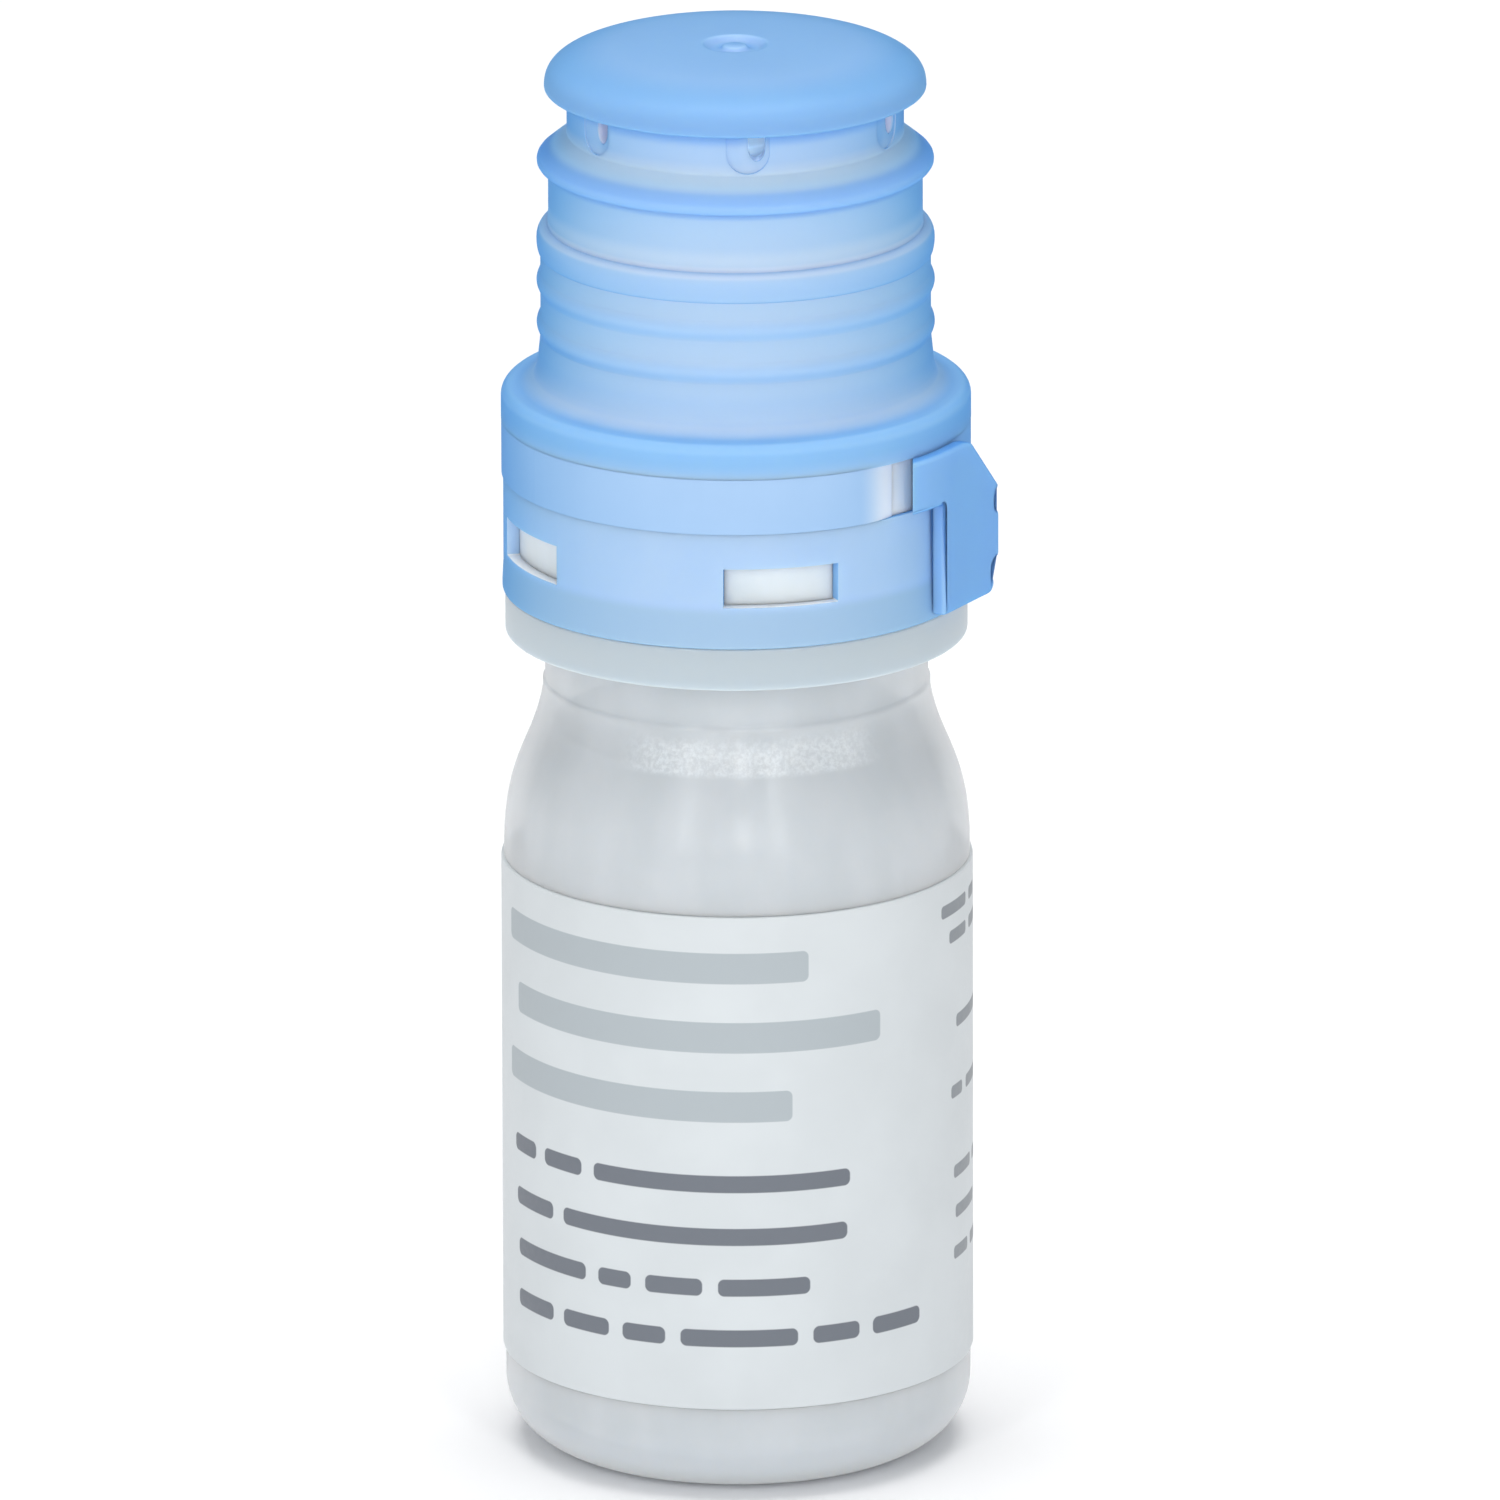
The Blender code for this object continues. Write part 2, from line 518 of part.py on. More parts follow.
def make_housing(look):
    """Push-on housing with a lug for each window and vent holes through its deck."""
    housing = turned("dispenser_housing", housing_outline(), look)
    lug_radius = RING_BORE_RADIUS + LUG_PROUD
    side_gap_deg = math.degrees(LUG_SIDE_GAP / lug_radius)
    half_span = WINDOW_SPAN_DEG / 2 - side_gap_deg
    low = WINDOW_Z + LUG_HEIGHT_GAP
    high = WINDOW_Z + WINDOW_HEIGHT - LUG_HEIGHT_GAP
    for index in range(WINDOW_COUNT):
        centre = window_centre_deg(index)
        lug = sector(
            "lug", HOUSING_RADIUS - HOUSING_WALL / 2, lug_radius, low, high,
            centre - half_span, centre + half_span, look)
        combine(housing, lug, "UNION")
    vent_circle = (TOWER_RADIUS + PLUG_BORE_RADIUS) / 2
    for index in range(VENT_COUNT):
        azimuth = VENT_FIRST_DEG + 360.0 * index / VENT_COUNT
        bottom = around(vent_circle, azimuth, DECK_UNDER_Z - CUT_OVERRUN)
        top = around(vent_circle, azimuth, DECK_Z + CUT_OVERRUN)
        combine(housing, rod("vent", VENT_RADIUS, bottom, top, look), "DIFFERENCE")
    return housing


def make_neck_gasket(look):
    """Flat ring between the bottle's mouth and the deck."""
    outer = FINISH_RADIUS
    inner = outer - GASKET_WIDTH
    top = GASKET_Z + GASKET_THICKNESS
    outline = [(inner, GASKET_Z), (outer, GASKET_Z), (outer, top), (inner, top)]
    return turned("neck_gasket", outline, look)


def make_check_valve(look):
    """Soft disc over the inlet, thicker at its rim."""
    middle_top = CHECK_VALVE_Z + CHECK_VALVE_LIP
    top = CHECK_VALVE_Z + CHECK_VALVE_THICKNESS
    outline = [(0, CHECK_VALVE_Z), (INSERT_RADIUS, CHECK_VALVE_Z), (INSERT_RADIUS, top)]
    outline += [(INLET_RADIUS * 2, top), (INLET_RADIUS, middle_top), (0, middle_top)]
    return turned("check_valve", outline, look, SMALL_ROUND_STEPS)


def make_flow_insert(look):
    """Fluted plug with a boss for the spring and a bore for the pin's tail."""
    boss_top = INSERT_TOP_Z + INSERT_BOSS_HEIGHT
    bore_floor = INSERT_TOP_Z - PIN_TAIL - INSERT_TAIL_ROOM
    outline = [(0, INSERT_Z), (INSERT_RADIUS, INSERT_Z), (INSERT_RADIUS, INSERT_TOP_Z)]
    outline += [(INSERT_BOSS_RADIUS, INSERT_TOP_Z), (INSERT_BOSS_RADIUS, boss_top)]
    outline += [(INSERT_BORE_RADIUS, boss_top), (INSERT_BORE_RADIUS, bore_floor), (0, bore_floor)]
    insert = turned("flow_insert", outline, look, SMALL_ROUND_STEPS)
    half_span = math.degrees(FLUTE_WIDTH / 2 / INSERT_RADIUS)
    inner = INSERT_RADIUS - FLUTE_DEPTH
    outer = INSERT_RADIUS + CUT_OVERRUN
    low = INSERT_Z - CUT_OVERRUN
    high = INSERT_TOP_Z + CUT_OVERRUN
    for index in range(FLUTE_COUNT):
        centre = FLUTE_FIRST_DEG + 360.0 * index / FLUTE_COUNT
        flute = sector(
            "flute", inner, outer, low, high, centre - half_span, centre + half_span, look)
        combine(insert, flute, "DIFFERENCE")
    return insert


def make_return_spring(look):
    """Coil spring: one unbroken helix of round wire between the insert and the pin's flange."""
    wire_radius = SPRING_WIRE / 2
    low = SPRING_Z + wire_radius
    rise = SPRING_LENGTH - SPRING_WIRE
    count = SPRING_COILS * SPRING_POINTS_PER_COIL
    points = []
    for k in range(count + 1):
        turn = 360.0 * k / SPRING_POINTS_PER_COIL
        points.append(around(SPRING_RADIUS, turn, low + rise * k / count))
    least = min(
        (one - two).length
        for index, one in enumerate(points)
        for two in points[index + SPRING_POINTS_PER_COIL // 2:])
    print("return_spring: least gap to itself", round(least - SPRING_WIRE, 6), "m")
    curve = bpy.data.curves.new("return_spring", "CURVE")
    curve.dimensions = "3D"
    curve.bevel_depth = wire_radius
    curve.bevel_resolution = 1
    curve.use_fill_caps = True
    spline = curve.splines.new("POLY")
    spline.points.add(len(points) - 1)
    for spot, point in zip(spline.points, points):
        spot.co = (*point, 1.0)
    curve.materials.append(look)
    made = bpy.data.objects.new("return_spring", curve)
    bpy.context.collection.objects.link(made)
    return made


def make_valve_pin(look):
    """Plunger: a tail in the insert, a flange on the spring and a necked stem for the seal."""
    tail_z = INSERT_TOP_Z - PIN_TAIL
    outline = [(0, tail_z), (PIN_RADIUS, tail_z), (PIN_RADIUS, PIN_FLANGE_Z)]
    outline += [(PIN_FLANGE_RADIUS, PIN_FLANGE_Z), (PIN_FLANGE_RADIUS, PIN_SHOULDER_Z)]
    outline += [(PIN_RADIUS, PIN_SHOULDER_Z), (PIN_RADIUS, PIN_STEM_Z)]
    outline += [(PIN_NECK_RADIUS, PIN_STEM_Z), (PIN_NECK_RADIUS, PIN_TOP_Z), (0, PIN_TOP_Z)]
    return turned("valve_pin", outline, look, SMALL_ROUND_STEPS)


def make_tip_seal(look):
    """Soft thimble over the pin's neck, with a cone that closes the orifice."""
    bore = PIN_NECK_RADIUS + SEAL_GAP
    ceiling = PIN_TOP_Z + SEAL_GAP
    outline = [(0, ceiling), (bore, ceiling), (bore, SEAL_Z), (SEAL_RADIUS, SEAL_Z)]
    outline += [(SEAL_RADIUS, SEAL_SHOULDER_Z), (SEAL_TIP_RADIUS, SEAL_TOP_Z), (0, SEAL_TOP_Z)]
    return turned("tip_seal", outline, look, SMALL_ROUND_STEPS)


def make_nozzle(look):
    """Drop-forming nozzle: a skirt over the tower, a domed shoulder and a cupped tip."""
    seat_radius = NOZZLE_BORE_RADIUS
    dome_low = CHAMBER_Z - NOZZLE_WALL
    stem_z = CHAMBER_TOP_Z + NOZZLE_DOME_SWEEP + NOZZLE_CHAMBER_GAP
    lip_z = NOZZLE_TOP_Z - NOZZLE_CUP_DEPTH
    round_z = NOZZLE_TOP_Z - NOZZLE_TIP_ROUND
    tip_flat = NOZZLE_TIP_RADIUS - NOZZLE_TIP_ROUND
    outline = [(NOZZLE_SKIRT_BORE, NOZZLE_FOOT_Z), (NOZZLE_SKIRT_RADIUS, NOZZLE_FOOT_Z)]
    start = (NOZZLE_SKIRT_RADIUS, dome_low)
    first_pull = (NOZZLE_SKIRT_RADIUS, CHAMBER_TOP_Z - NOZZLE_CHAMBER_GAP)
    last_pull = (NOZZLE_STEM_RADIUS, stem_z - NOZZLE_DOME_SWEEP)
    outline += [start]
    outline += curve_points(start, first_pull, last_pull, (NOZZLE_STEM_RADIUS, stem_z), 6)
    outline += [(NOZZLE_TIP_RADIUS, round_z)]
    outline += arc_points((tip_flat, round_z), NOZZLE_TIP_ROUND, 30, 90, 2)
    outline += [(NOZZLE_CUP_RADIUS, NOZZLE_TOP_Z), (ORIFICE_RADIUS, lip_z)]
    outline += [(ORIFICE_RADIUS, NOZZLE_THROAT_Z), (seat_radius, NOZZLE_SEAT_Z)]
    outline += [(seat_radius, CHAMBER_TOP_Z + NOZZLE_CHAMBER_GAP), (CHAMBER_RADIUS, CHAMBER_TOP_Z)]
    outline += [(CHAMBER_RADIUS, CHAMBER_Z), (NOZZLE_SKIRT_BORE, CHAMBER_Z)]
    return turned("nozzle", outline, look, SMALL_ROUND_STEPS)


def make_vent_filter(look):
    """Ring of filter membrane on the deck."""
    inner = TOWER_RADIUS + SLIDE_GAP
    outer = RIM_BORE_RADIUS - SLIDE_GAP
    high = FILTER_Z + FILTER_THICKNESS
    outline = [(inner, FILTER_Z), (outer, FILTER_Z), (outer, high), (inner, high)]
    return turned("vent_filter", outline, look)


def make_filter_retainer(look):
    """Perforated ring that holds the membrane down."""
    inner = TOWER_RADIUS + SLIDE_GAP
    outer = RIM_BORE_RADIUS - SLIDE_GAP
    outline = [(inner, RETAINER_Z), (outer, RETAINER_Z), (outer, RIM_Z), (inner, RIM_Z)]
    retainer = turned("filter_retainer", outline, look)
    circle = (inner + outer) / 2
    for index in range(RETAINER_HOLE_COUNT):
        azimuth = RETAINER_HOLE_FIRST_DEG + 360.0 * index / RETAINER_HOLE_COUNT
        bottom = around(circle, azimuth, RETAINER_Z - CUT_OVERRUN)
        top = around(circle, azimuth, RIM_Z + CUT_OVERRUN)
        hole = rod("hole", RETAINER_HOLE_RADIUS, bottom, top, look)
        combine(retainer, hole, "DIFFERENCE")
    return retainer


def make_anchor_ring(look):
    """Band that stays on the housing, with a bead at its foot and a window for each lug."""
    bead_radius = RING_RADIUS + RING_BEAD
    bead_top = RING_Z + RING_BEAD_HEIGHT
    outline = [(RING_BORE_RADIUS, RING_Z), (RING_RADIUS, RING_Z), (bead_radius, RING_Z + RING_BEAD)]
    outline += [(bead_radius, bead_top - RING_BEAD), (RING_RADIUS, bead_top)]
    outline += [(RING_RADIUS, RING_TOP_Z), (RING_BORE_RADIUS, RING_TOP_Z)]
    ring = turned("anchor_ring", outline, look)
    for index in range(WINDOW_COUNT):
        centre = window_centre_deg(index)
        window = sector(
            "window", RING_BORE_RADIUS - CUT_OVERRUN, RING_RADIUS + CUT_OVERRUN,
            WINDOW_Z, WINDOW_Z + WINDOW_HEIGHT,
            centre - WINDOW_SPAN_DEG / 2, centre + WINDOW_SPAN_DEG / 2, look)
        combine(ring, window, "DIFFERENCE")
    return ring


def link_edge_deg(index):
    """Azimuth at which one link of the strip meets the next."""
    return STRIP_FIXED_END_DEG - STRIP_TURN_DEG * index


def feathered_radius(azimuth_deg):
    """Outer radius of the fixed link, which thins out towards the strip's end."""
    share = min(1.0, (STRIP_FIXED_END_DEG - azimuth_deg) / STRIP_FEATHER_DEG)
    thin_radius = RING_BORE_RADIUS + STRIP_FEATHER_WALL
    return thin_radius + (STRIP_RADIUS - thin_radius) * share


def make_tear_strip(look):
    """Links of the tear strip. Each moving link has its origin on its own peel axis."""
    half_gap = math.degrees(LINK_GAP / 2 / STRIP_MID_RADIUS)
    links = []
    for index in range(STRIP_LINKS):
        start = link_edge_deg(index) - (half_gap if index > 0 else 0)
        end = link_edge_deg(index + 1) + (half_gap if index < STRIP_LINKS - 1 else 0)
        outer = feathered_radius if index == 0 else STRIP_RADIUS
        link = sector(
            "tear_strip_%d" % (index + 1), RING_BORE_RADIUS, outer,
            STRIP_Z, STRIP_TOP_Z, start, end, look)
        if index > 0:
            place_origin(link, around(STRIP_MID_RADIUS, link_edge_deg(index), STRIP_Z))
        links.append(link)
    return links


def place_origin(piece, spot):
    """Move a piece's origin without moving its shape."""
    piece.data.transform(Matrix.Translation(-spot))
    piece.location = spot


def tab_outline():
    """Side view of the flat tab: distance from its root along the wall, and height."""
    mid_radius = TAB_RADIUS + TAB_THICKNESS / 2
    arc = math.radians(TAB_STRAIGHT_FROM_DEG - TAB_ROOT_DEG) * mid_radius
    drop = math.radians(TAB_DROP_FROM_DEG - TAB_ROOT_DEG) * mid_radius
    end = arc + TAB_REACH
    foot = end - TAB_FOOT_INSET
    low_inset = end - TAB_LOW_NOTCH_DEPTH
    high_inset = end - TAB_TOP_NOTCH_DEPTH
    low = RING_Z + TAB_BOTTOM_LIFT
    shoulder = STRIP_TOP_Z - TAB_CHAMFER_DROP
    high_notch = shoulder - TAB_TOP_NOTCH_BELOW
    high_notch_top = high_notch + TAB_TOP_NOTCH_HEIGHT
    low_notch = low + TAB_LOW_NOTCH_ABOVE
    low_notch_top = low_notch + TAB_LOW_NOTCH_HEIGHT
    points = [(0, STRIP_Z), (drop, STRIP_Z), (drop, low), (foot - TAB_NOTCH_SLOPE, low)]
    points += [(foot, low + TAB_NOTCH_SLOPE), (foot, low_notch - TAB_NOTCH_SLOPE)]
    points += [(low_inset, low_notch), (low_inset, low_notch_top)]
    points += [(end, low_notch_top + TAB_NOTCH_SLOPE), (end, high_notch - TAB_NOTCH_SLOPE)]
    points += [(high_inset, high_notch), (high_inset, high_notch_top), (end, shoulder)]
    points += [(end - TAB_CHAMFER_WIDTH, STRIP_TOP_Z), (0, STRIP_TOP_Z)]
    return points, arc, drop


def make_pull_tab(look):
    """Grip tab: a flat plate that hugs the strip at its root and then leaves it on a tangent."""
    points, arc, drop = tab_outline()
    shape = bmesh.new()
    corners = [shape.verts.new((along, 0, height)) for along, height in points]
    face = shape.faces.new(corners)
    grown = bmesh.ops.extrude_face_region(shape, geom=[face])
    moved = [item for item in grown["geom"] if isinstance(item, bmesh.types.BMVert)]
    bmesh.ops.translate(shape, verts=moved, vec=(0, TAB_THICKNESS, 0))
    bmesh.ops.triangulate(shape, faces=[f for f in shape.faces if len(f.verts) > 4])
    cuts = [drop] + [arc * k / TAB_STEPS for k in range(1, TAB_STEPS + 1)]
    for cut in cuts:
        parts = list(shape.verts) + list(shape.edges) + list(shape.faces)
        bmesh.ops.bisect_plane(shape, geom=parts, plane_co=(cut, 0, 0), plane_no=(1, 0, 0))
    mid_radius = TAB_RADIUS + TAB_THICKNESS / 2
    for vert in shape.verts:
        along, out, height = vert.co
        azimuth = TAB_ROOT_DEG + math.degrees(min(along, arc) / mid_radius)
        tangent = around(1, azimuth + 90.0)
        vert.co = around(TAB_RADIUS + out, azimuth, height) + tangent * max(0, along - arc)
    bmesh.ops.triangulate(shape, faces=shape.faces)
    tab = finish("pull_tab", shape, look)
    place_origin(tab, tab_axis())
    return tab


def tab_axis():
    """Foot of the living hinge at the tab's root."""
    root_turn = math.degrees(TAB_THICKNESS / 2 / TAB_RADIUS)
    return around(TAB_RADIUS + TAB_THICKNESS / 2, TAB_ROOT_DEG + root_turn, STRIP_Z)


def rib_points(height, half_height, low_radius, high_radius, steps=5):
    """A rounded grip rib, from its lower foot to its upper foot."""
    points = []
    for k in range(steps + 1):
        turn = math.pi * (k / steps - 1 / 2)
        base = low_radius if turn < 0 else high_radius
        points.append((base + (RIB_RADIUS - base) * math.cos(turn), height + half_height * math.sin(turn)))
    return points


def cap_outline():
    """Half section of the cap, up its outside and down its inside."""
    points = [(FLANGE_RADIUS, CAP_Z)]
    fillet_centre = (FLANGE_RADIUS - FLANGE_FILLET, FLANGE_TOP_Z - FLANGE_FILLET)
    points += arc_points(fillet_centre, FLANGE_FILLET, 0, 90, 3)
    points += [(STEM_RADIUS, FLANGE_TOP_Z)]
    for index in range(RIB_COUNT):
        top_rib = index == RIB_COUNT - 1
        half_height = TOP_RIB_HALF_HEIGHT if top_rib else RIB_HALF_HEIGHT
        above = UPPER_VALLEY_RADIUS if top_rib else VALLEY_RADIUS
        height = FLANGE_TOP_Z + RIB_FIRST_HEIGHT + RIB_PITCH * index
        points += rib_points(height, half_height, VALLEY_RADIUS, above)
    ring_low = COLLAR_RING_Z - COLLAR_RING_EDGE / 2
    ring_high = COLLAR_RING_Z + COLLAR_RING_EDGE / 2
    points += [(UPPER_VALLEY_RADIUS, ring_low - COLLAR_RING_CHAMFER)]
    points += [(COLLAR_RING_RADIUS - COLLAR_RING_CHAMFER, ring_low), (COLLAR_RING_RADIUS, COLLAR_RING_Z)]
    points += [(COLLAR_RING_RADIUS - COLLAR_RING_CHAMFER, ring_high)]
    points += [(CAP_NECK_RADIUS, CAP_NECK_Z), (CAP_NECK_RADIUS, DISC_UNDER_Z)]
    under_pull = (DISC_RADIUS, DISC_EQUATOR_Z - DISC_EDGE_HEIGHT * DISC_UNDER_SHARE)
    points += curve_points(
        (CAP_NECK_RADIUS, DISC_UNDER_Z), (CAP_NECK_RADIUS, DISC_UNDER_Z), under_pull,
        (DISC_RADIUS, DISC_EQUATOR_Z), 3)
    edge_pull = (DISC_RADIUS, DISC_EQUATOR_Z + DISC_DOME_HEIGHT * DISC_EDGE_RISE_SHARE)
    flat_pull = (DISC_RADIUS * DISC_FLAT_SHARE, DISC_TOP_Z)
    dome = curve_points((DISC_RADIUS, DISC_EQUATOR_Z), edge_pull, flat_pull, (0, DISC_TOP_Z), 9)
    points += [spot for spot in dome if spot[0] > GATE_DIMPLE_RADIUS]
    dimple = DISC_TOP_Z - GATE_DIMPLE_DEPTH
    points += [(GATE_DIMPLE_RADIUS, DISC_TOP_Z), (GATE_MARK_RADIUS * 2, dimple)]
    points += [(GATE_MARK_RADIUS, dimple)]
    points += [(GATE_MARK_RADIUS, dimple + GATE_MARK_HEIGHT), (0, dimple + GATE_MARK_HEIGHT)]
    points += [(0, CAP_CEILING_Z), (CAP_NECK_BORE_RADIUS - CAP_WALL / 2, CAP_CEILING_Z)]
    points += [(CAP_NECK_BORE_RADIUS, CAP_CEILING_Z - CAP_WALL / 2)]
    points += [(CAP_NECK_BORE_RADIUS, CAP_NECK_Z), (CAP_BORE_RADIUS, COLLAR_RING_Z)]
    points += [(CAP_BORE_RADIUS, CAP_LEDGE_Z), (RING_BORE_RADIUS, CAP_LEDGE_Z)]
    points += [(RING_BORE_RADIUS, CAP_Z)]
    return points


def make_cap(look):
    """Pull-off cap: flange, grip ribs, collar ring and a mushroom top over a ring of vents."""
    outline = cap_outline()
    apex = next(index for index, spot in enumerate(outline) if spot[0] == 0)
    outline = outline[apex + 1:] + outline[:apex + 1]
    cap = turned("cap", outline, look)
    height = DISC_UNDER_Z - CAP_VENT_BELOW_DISC
    for index in range(CAP_VENT_COUNT):
        azimuth = CAP_VENT_FIRST_DEG + 360.0 * index / CAP_VENT_COUNT
        start = around(CAP_NECK_BORE_RADIUS - CUT_OVERRUN, azimuth, height)
        end = around(CAP_NECK_RADIUS + CAP_WALL / 2, azimuth, height)
        combine(cap, rod("cap_vent", CAP_VENT_RADIUS, start, end, look), "DIFFERENCE")
    return cap


clear_scene()
blue = material("blue_polyethylene", (0.30, 0.56, 0.87), 0.42)
white = material("natural_polyethylene", (0.80, 0.84, 0.85), 0.45)
clear = material("translucent_bottle", (0.62, 0.68, 0.70), 0.38)
paper = material("label_film", (0.78, 0.82, 0.86), 0.55)
rubber = material("silicone", (0.72, 0.72, 0.70), 0.6)
membrane = material("filter_membrane", (0.90, 0.90, 0.88), 0.9)
steel = material("spring_steel", (0.60, 0.60, 0.62), 0.25, 1.0)

make_bottle(clear)
make_label(paper)
make_housing(white)
make_neck_gasket(rubber)
make_check_valve(rubber)
make_flow_insert(white)
make_return_spring(steel)
make_valve_pin(white)
make_tip_seal(rubber)
make_nozzle(white)
make_vent_filter(membrane)
make_filter_retainer(white)
make_anchor_ring(blue)
make_tear_strip(blue)
make_pull_tab(blue)
make_cap(blue)
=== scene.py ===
"""Looks of the eye drop bottle: finer meshes, procedural materials, floor, light and camera.

The scene is in metres, +Z up, with the front towards -Y. Named sizes, radii and levels are in
millimetres. An azimuth is in degrees, measured from the front towards +X.
"""

import math
import random

import bmesh
import bpy
from mathutils import Matrix, Vector


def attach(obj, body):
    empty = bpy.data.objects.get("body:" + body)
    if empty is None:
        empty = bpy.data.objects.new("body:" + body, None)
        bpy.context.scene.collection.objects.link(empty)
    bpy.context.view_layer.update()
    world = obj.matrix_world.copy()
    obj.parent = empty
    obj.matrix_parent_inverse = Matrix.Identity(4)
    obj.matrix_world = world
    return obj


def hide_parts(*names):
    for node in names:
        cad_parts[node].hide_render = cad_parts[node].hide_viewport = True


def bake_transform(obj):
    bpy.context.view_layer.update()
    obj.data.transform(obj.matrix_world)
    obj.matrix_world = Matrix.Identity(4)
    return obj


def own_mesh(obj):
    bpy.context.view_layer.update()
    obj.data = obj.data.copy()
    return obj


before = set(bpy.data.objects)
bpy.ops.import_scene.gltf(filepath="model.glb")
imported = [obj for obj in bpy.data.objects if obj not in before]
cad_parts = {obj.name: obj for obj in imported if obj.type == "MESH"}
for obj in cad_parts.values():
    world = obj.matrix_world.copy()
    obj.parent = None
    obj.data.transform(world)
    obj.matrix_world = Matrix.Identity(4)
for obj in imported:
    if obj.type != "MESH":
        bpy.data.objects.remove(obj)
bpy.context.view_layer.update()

MM = 0.001

# Facets of the turned pieces
ROUND_STEPS = 180
FINE_STEPS = 96
SHARP_EDGE_ANGLE = math.radians(40.0)

# Bottle
BODY = 11.0
BASE_FILLET = 3.2
GROOVE = 4.8
GROOVE_HALF = 0.5
GROOVE_DEPTH = 0.3
GROOVE_FLANK = 0.16
SHOULDER_Z = 29.03
SHOULDER_SPAN = (29.2, 37.1)
SHOULDER_LOW_PULL = 0.561
SHOULDER_OUT_PULL = 0.198
SHOULDER_HIGH_PULL = 0.444
NECK = 9.03
NECK_Z = 37.73
NECK_BEAD_Z = 37.2
NECK_BEAD_OUT = 0.1
NECK_BEAD_HEIGHT = 0.4
NECK_SLANT = 0.7
FINISH = 8.1
FINISH_Z = 40.23
FINISH_BEAD = 8.6
FINISH_BEAD_Z = 43.53
FINISH_BEAD_HEIGHT = 0.4
FINISH_BEAD_RAMPS = (0.3, 0.7)
MOUTH_Z = 46.43
MOUTH_BORE = 7.0
MOUTH_CHAMFER = 0.3
FLOOR_Z = 1.2
WALL = 0.9
NECK_WALL = 1.1

# Inner faces of the bottle: above this level, or this low and facing up
INNER_FROM_Z = 1.5
INNER_FLOOR_Z = 4.0

# Label and its recess in the bottle
PANEL = 10.88
PANEL_MARGIN = 0.01
PANEL_STEP = 0.02
LABEL_LOW = 4.56
LABEL_HIGH = 28.79
LABEL_IN = 10.91
LABEL_OUT = 11.13
LABEL_EDGE = 0.1
LABEL_SEAM = 6.0

# Eye drops and the foam on them
LIQUID_Z = 35.1
LIQUID_GAP = 0.03
MENISCUS_REACH = 0.5
MENISCUS_EDGE = 0.05
MENISCUS_RISE = 0.12
MENISCUS_FOOT = 0.15
FOAM_SEED = 7
FOAM_COUNT = 420
FOAM_START = -36
FOAM_SPAN = 82
FOAM_SIZE = 0.08
FOAM_SIZE_SPAN = 0.2
FOAM_RISE = 0.05
FOAM_HEIGHT = 1.9
FOAM_GAP = 0.03
FOAM_DEPTH = 0.2

# Dispenser housing
SKIRT_Z = 39.83
LEDGE_Z = 41.84
DECK_Z = 48.93
RIM_Z = 50.83
COLLAR = 10.89
HOUSING = 10.05
RIM_BORE = 9.15
HOUSING_SKIRT = [(9.08, SKIRT_Z), (9.08, 41.45), (8.4, 42.13), (8.4, 42.68), (8.9, 42.93), (8.9, 47.73)]
HOUSING_PLUG = [(6.7, 47.73), (6.7, 44.93), (6.3, 44.53), (5.8, 44.53), (5.8, 47.73)]
HOUSING_TOWER = [
    (4.7, 47.73), (4.7, 43.33), (1.2, 43.33), (1.2, 44.13), (3.7, 44.13), (3.7, 57.13), (4.7, 57.13),
    (4.7, DECK_Z)]
HOUSING_EDGE = 0.12
LUG_IN = 9.6
LUG_OUT = 10.37
LUG_GAP = 0.005
LUG_GAP_DEG = 0.03
STOP_IN = 9.8
STOP_OUT = 10.75
STOP_RAISE = 0.01
STOP_GAP_DEG = 0.04
STOP_END = 54.0
STOP_GAP = 0.015

# Anchor ring, its windows and the seams to the strip
RING_IN = 10.27
RING_OUT = 10.97
RING_Z = 41.91
RING_FOOT = 11.02
RING_FOOT_ROUND = (0.02, 0.06)
RING_FOOT_HEIGHT = 0.29
RING_SLOPE_HEIGHT = 1.26
WINDOW_LOW = 43.90
WINDOW_HIGH = 45.80
WINDOW_SPAN = 29.0
WINDOW_CENTRES = [11.3 - 76.0 * k for k in range(4)]
WINDOW_CUT = (9.8, 11.6)
SEAM_LOW = 47.5
SEAM_HIGH = 50.15
SEAM_GAP = 0.005
BAND_EDGE = 0.012

# Tear strip
STRIP_OUT = 11.05
STRIP_LINKS = 9
STRIP_START = 38.5
STRIP_TURN = 350.0 / STRIP_LINKS
STRIP_END = 48.5
STRIP_TIP = 42.5
STRIP_END_X = 8.27
FEATHER_OUT = 10.78
FEATHER_DEG = 11.0

# Pull tab
TAB_IN = 11.08
TAB_THICKNESS = 0.65
TAB_LEAVES = 60.0
TAB_LEG_AT = 56.4
TAB_LOW = 42.17
TAB_REACH = 4.47
TAB_ROOT_RAISE = 0.1
TAB_FOOT_BACK = 0.46
TAB_CHAMFER = 0.3
TAB_LOW_NOTCH = 0.65
TAB_HIGH_NOTCH = 0.34
TAB_SHOULDER_Z = 47.3
TAB_BROW_Z = 50.0
TAB_BROW_BACK = 2.55
TAB_TOP_BACK = 3.3
TAB_TOP_GAP = 0.02
TAB_CORNER = 0.18
TAB_ROUND = ((0.22, 0.0), (0.19, 0.0), (0.09, 0.03), (0.03, 0.09), (0.0, 0.19), (0.0, 0.21))
TAB_SQUARE_ROOT = 0.3
TAB_BENDS = 14
TAB_CLOSE = 0.01
TAB_SINK = 0.06
TAB_SINK_REACH = 0.7

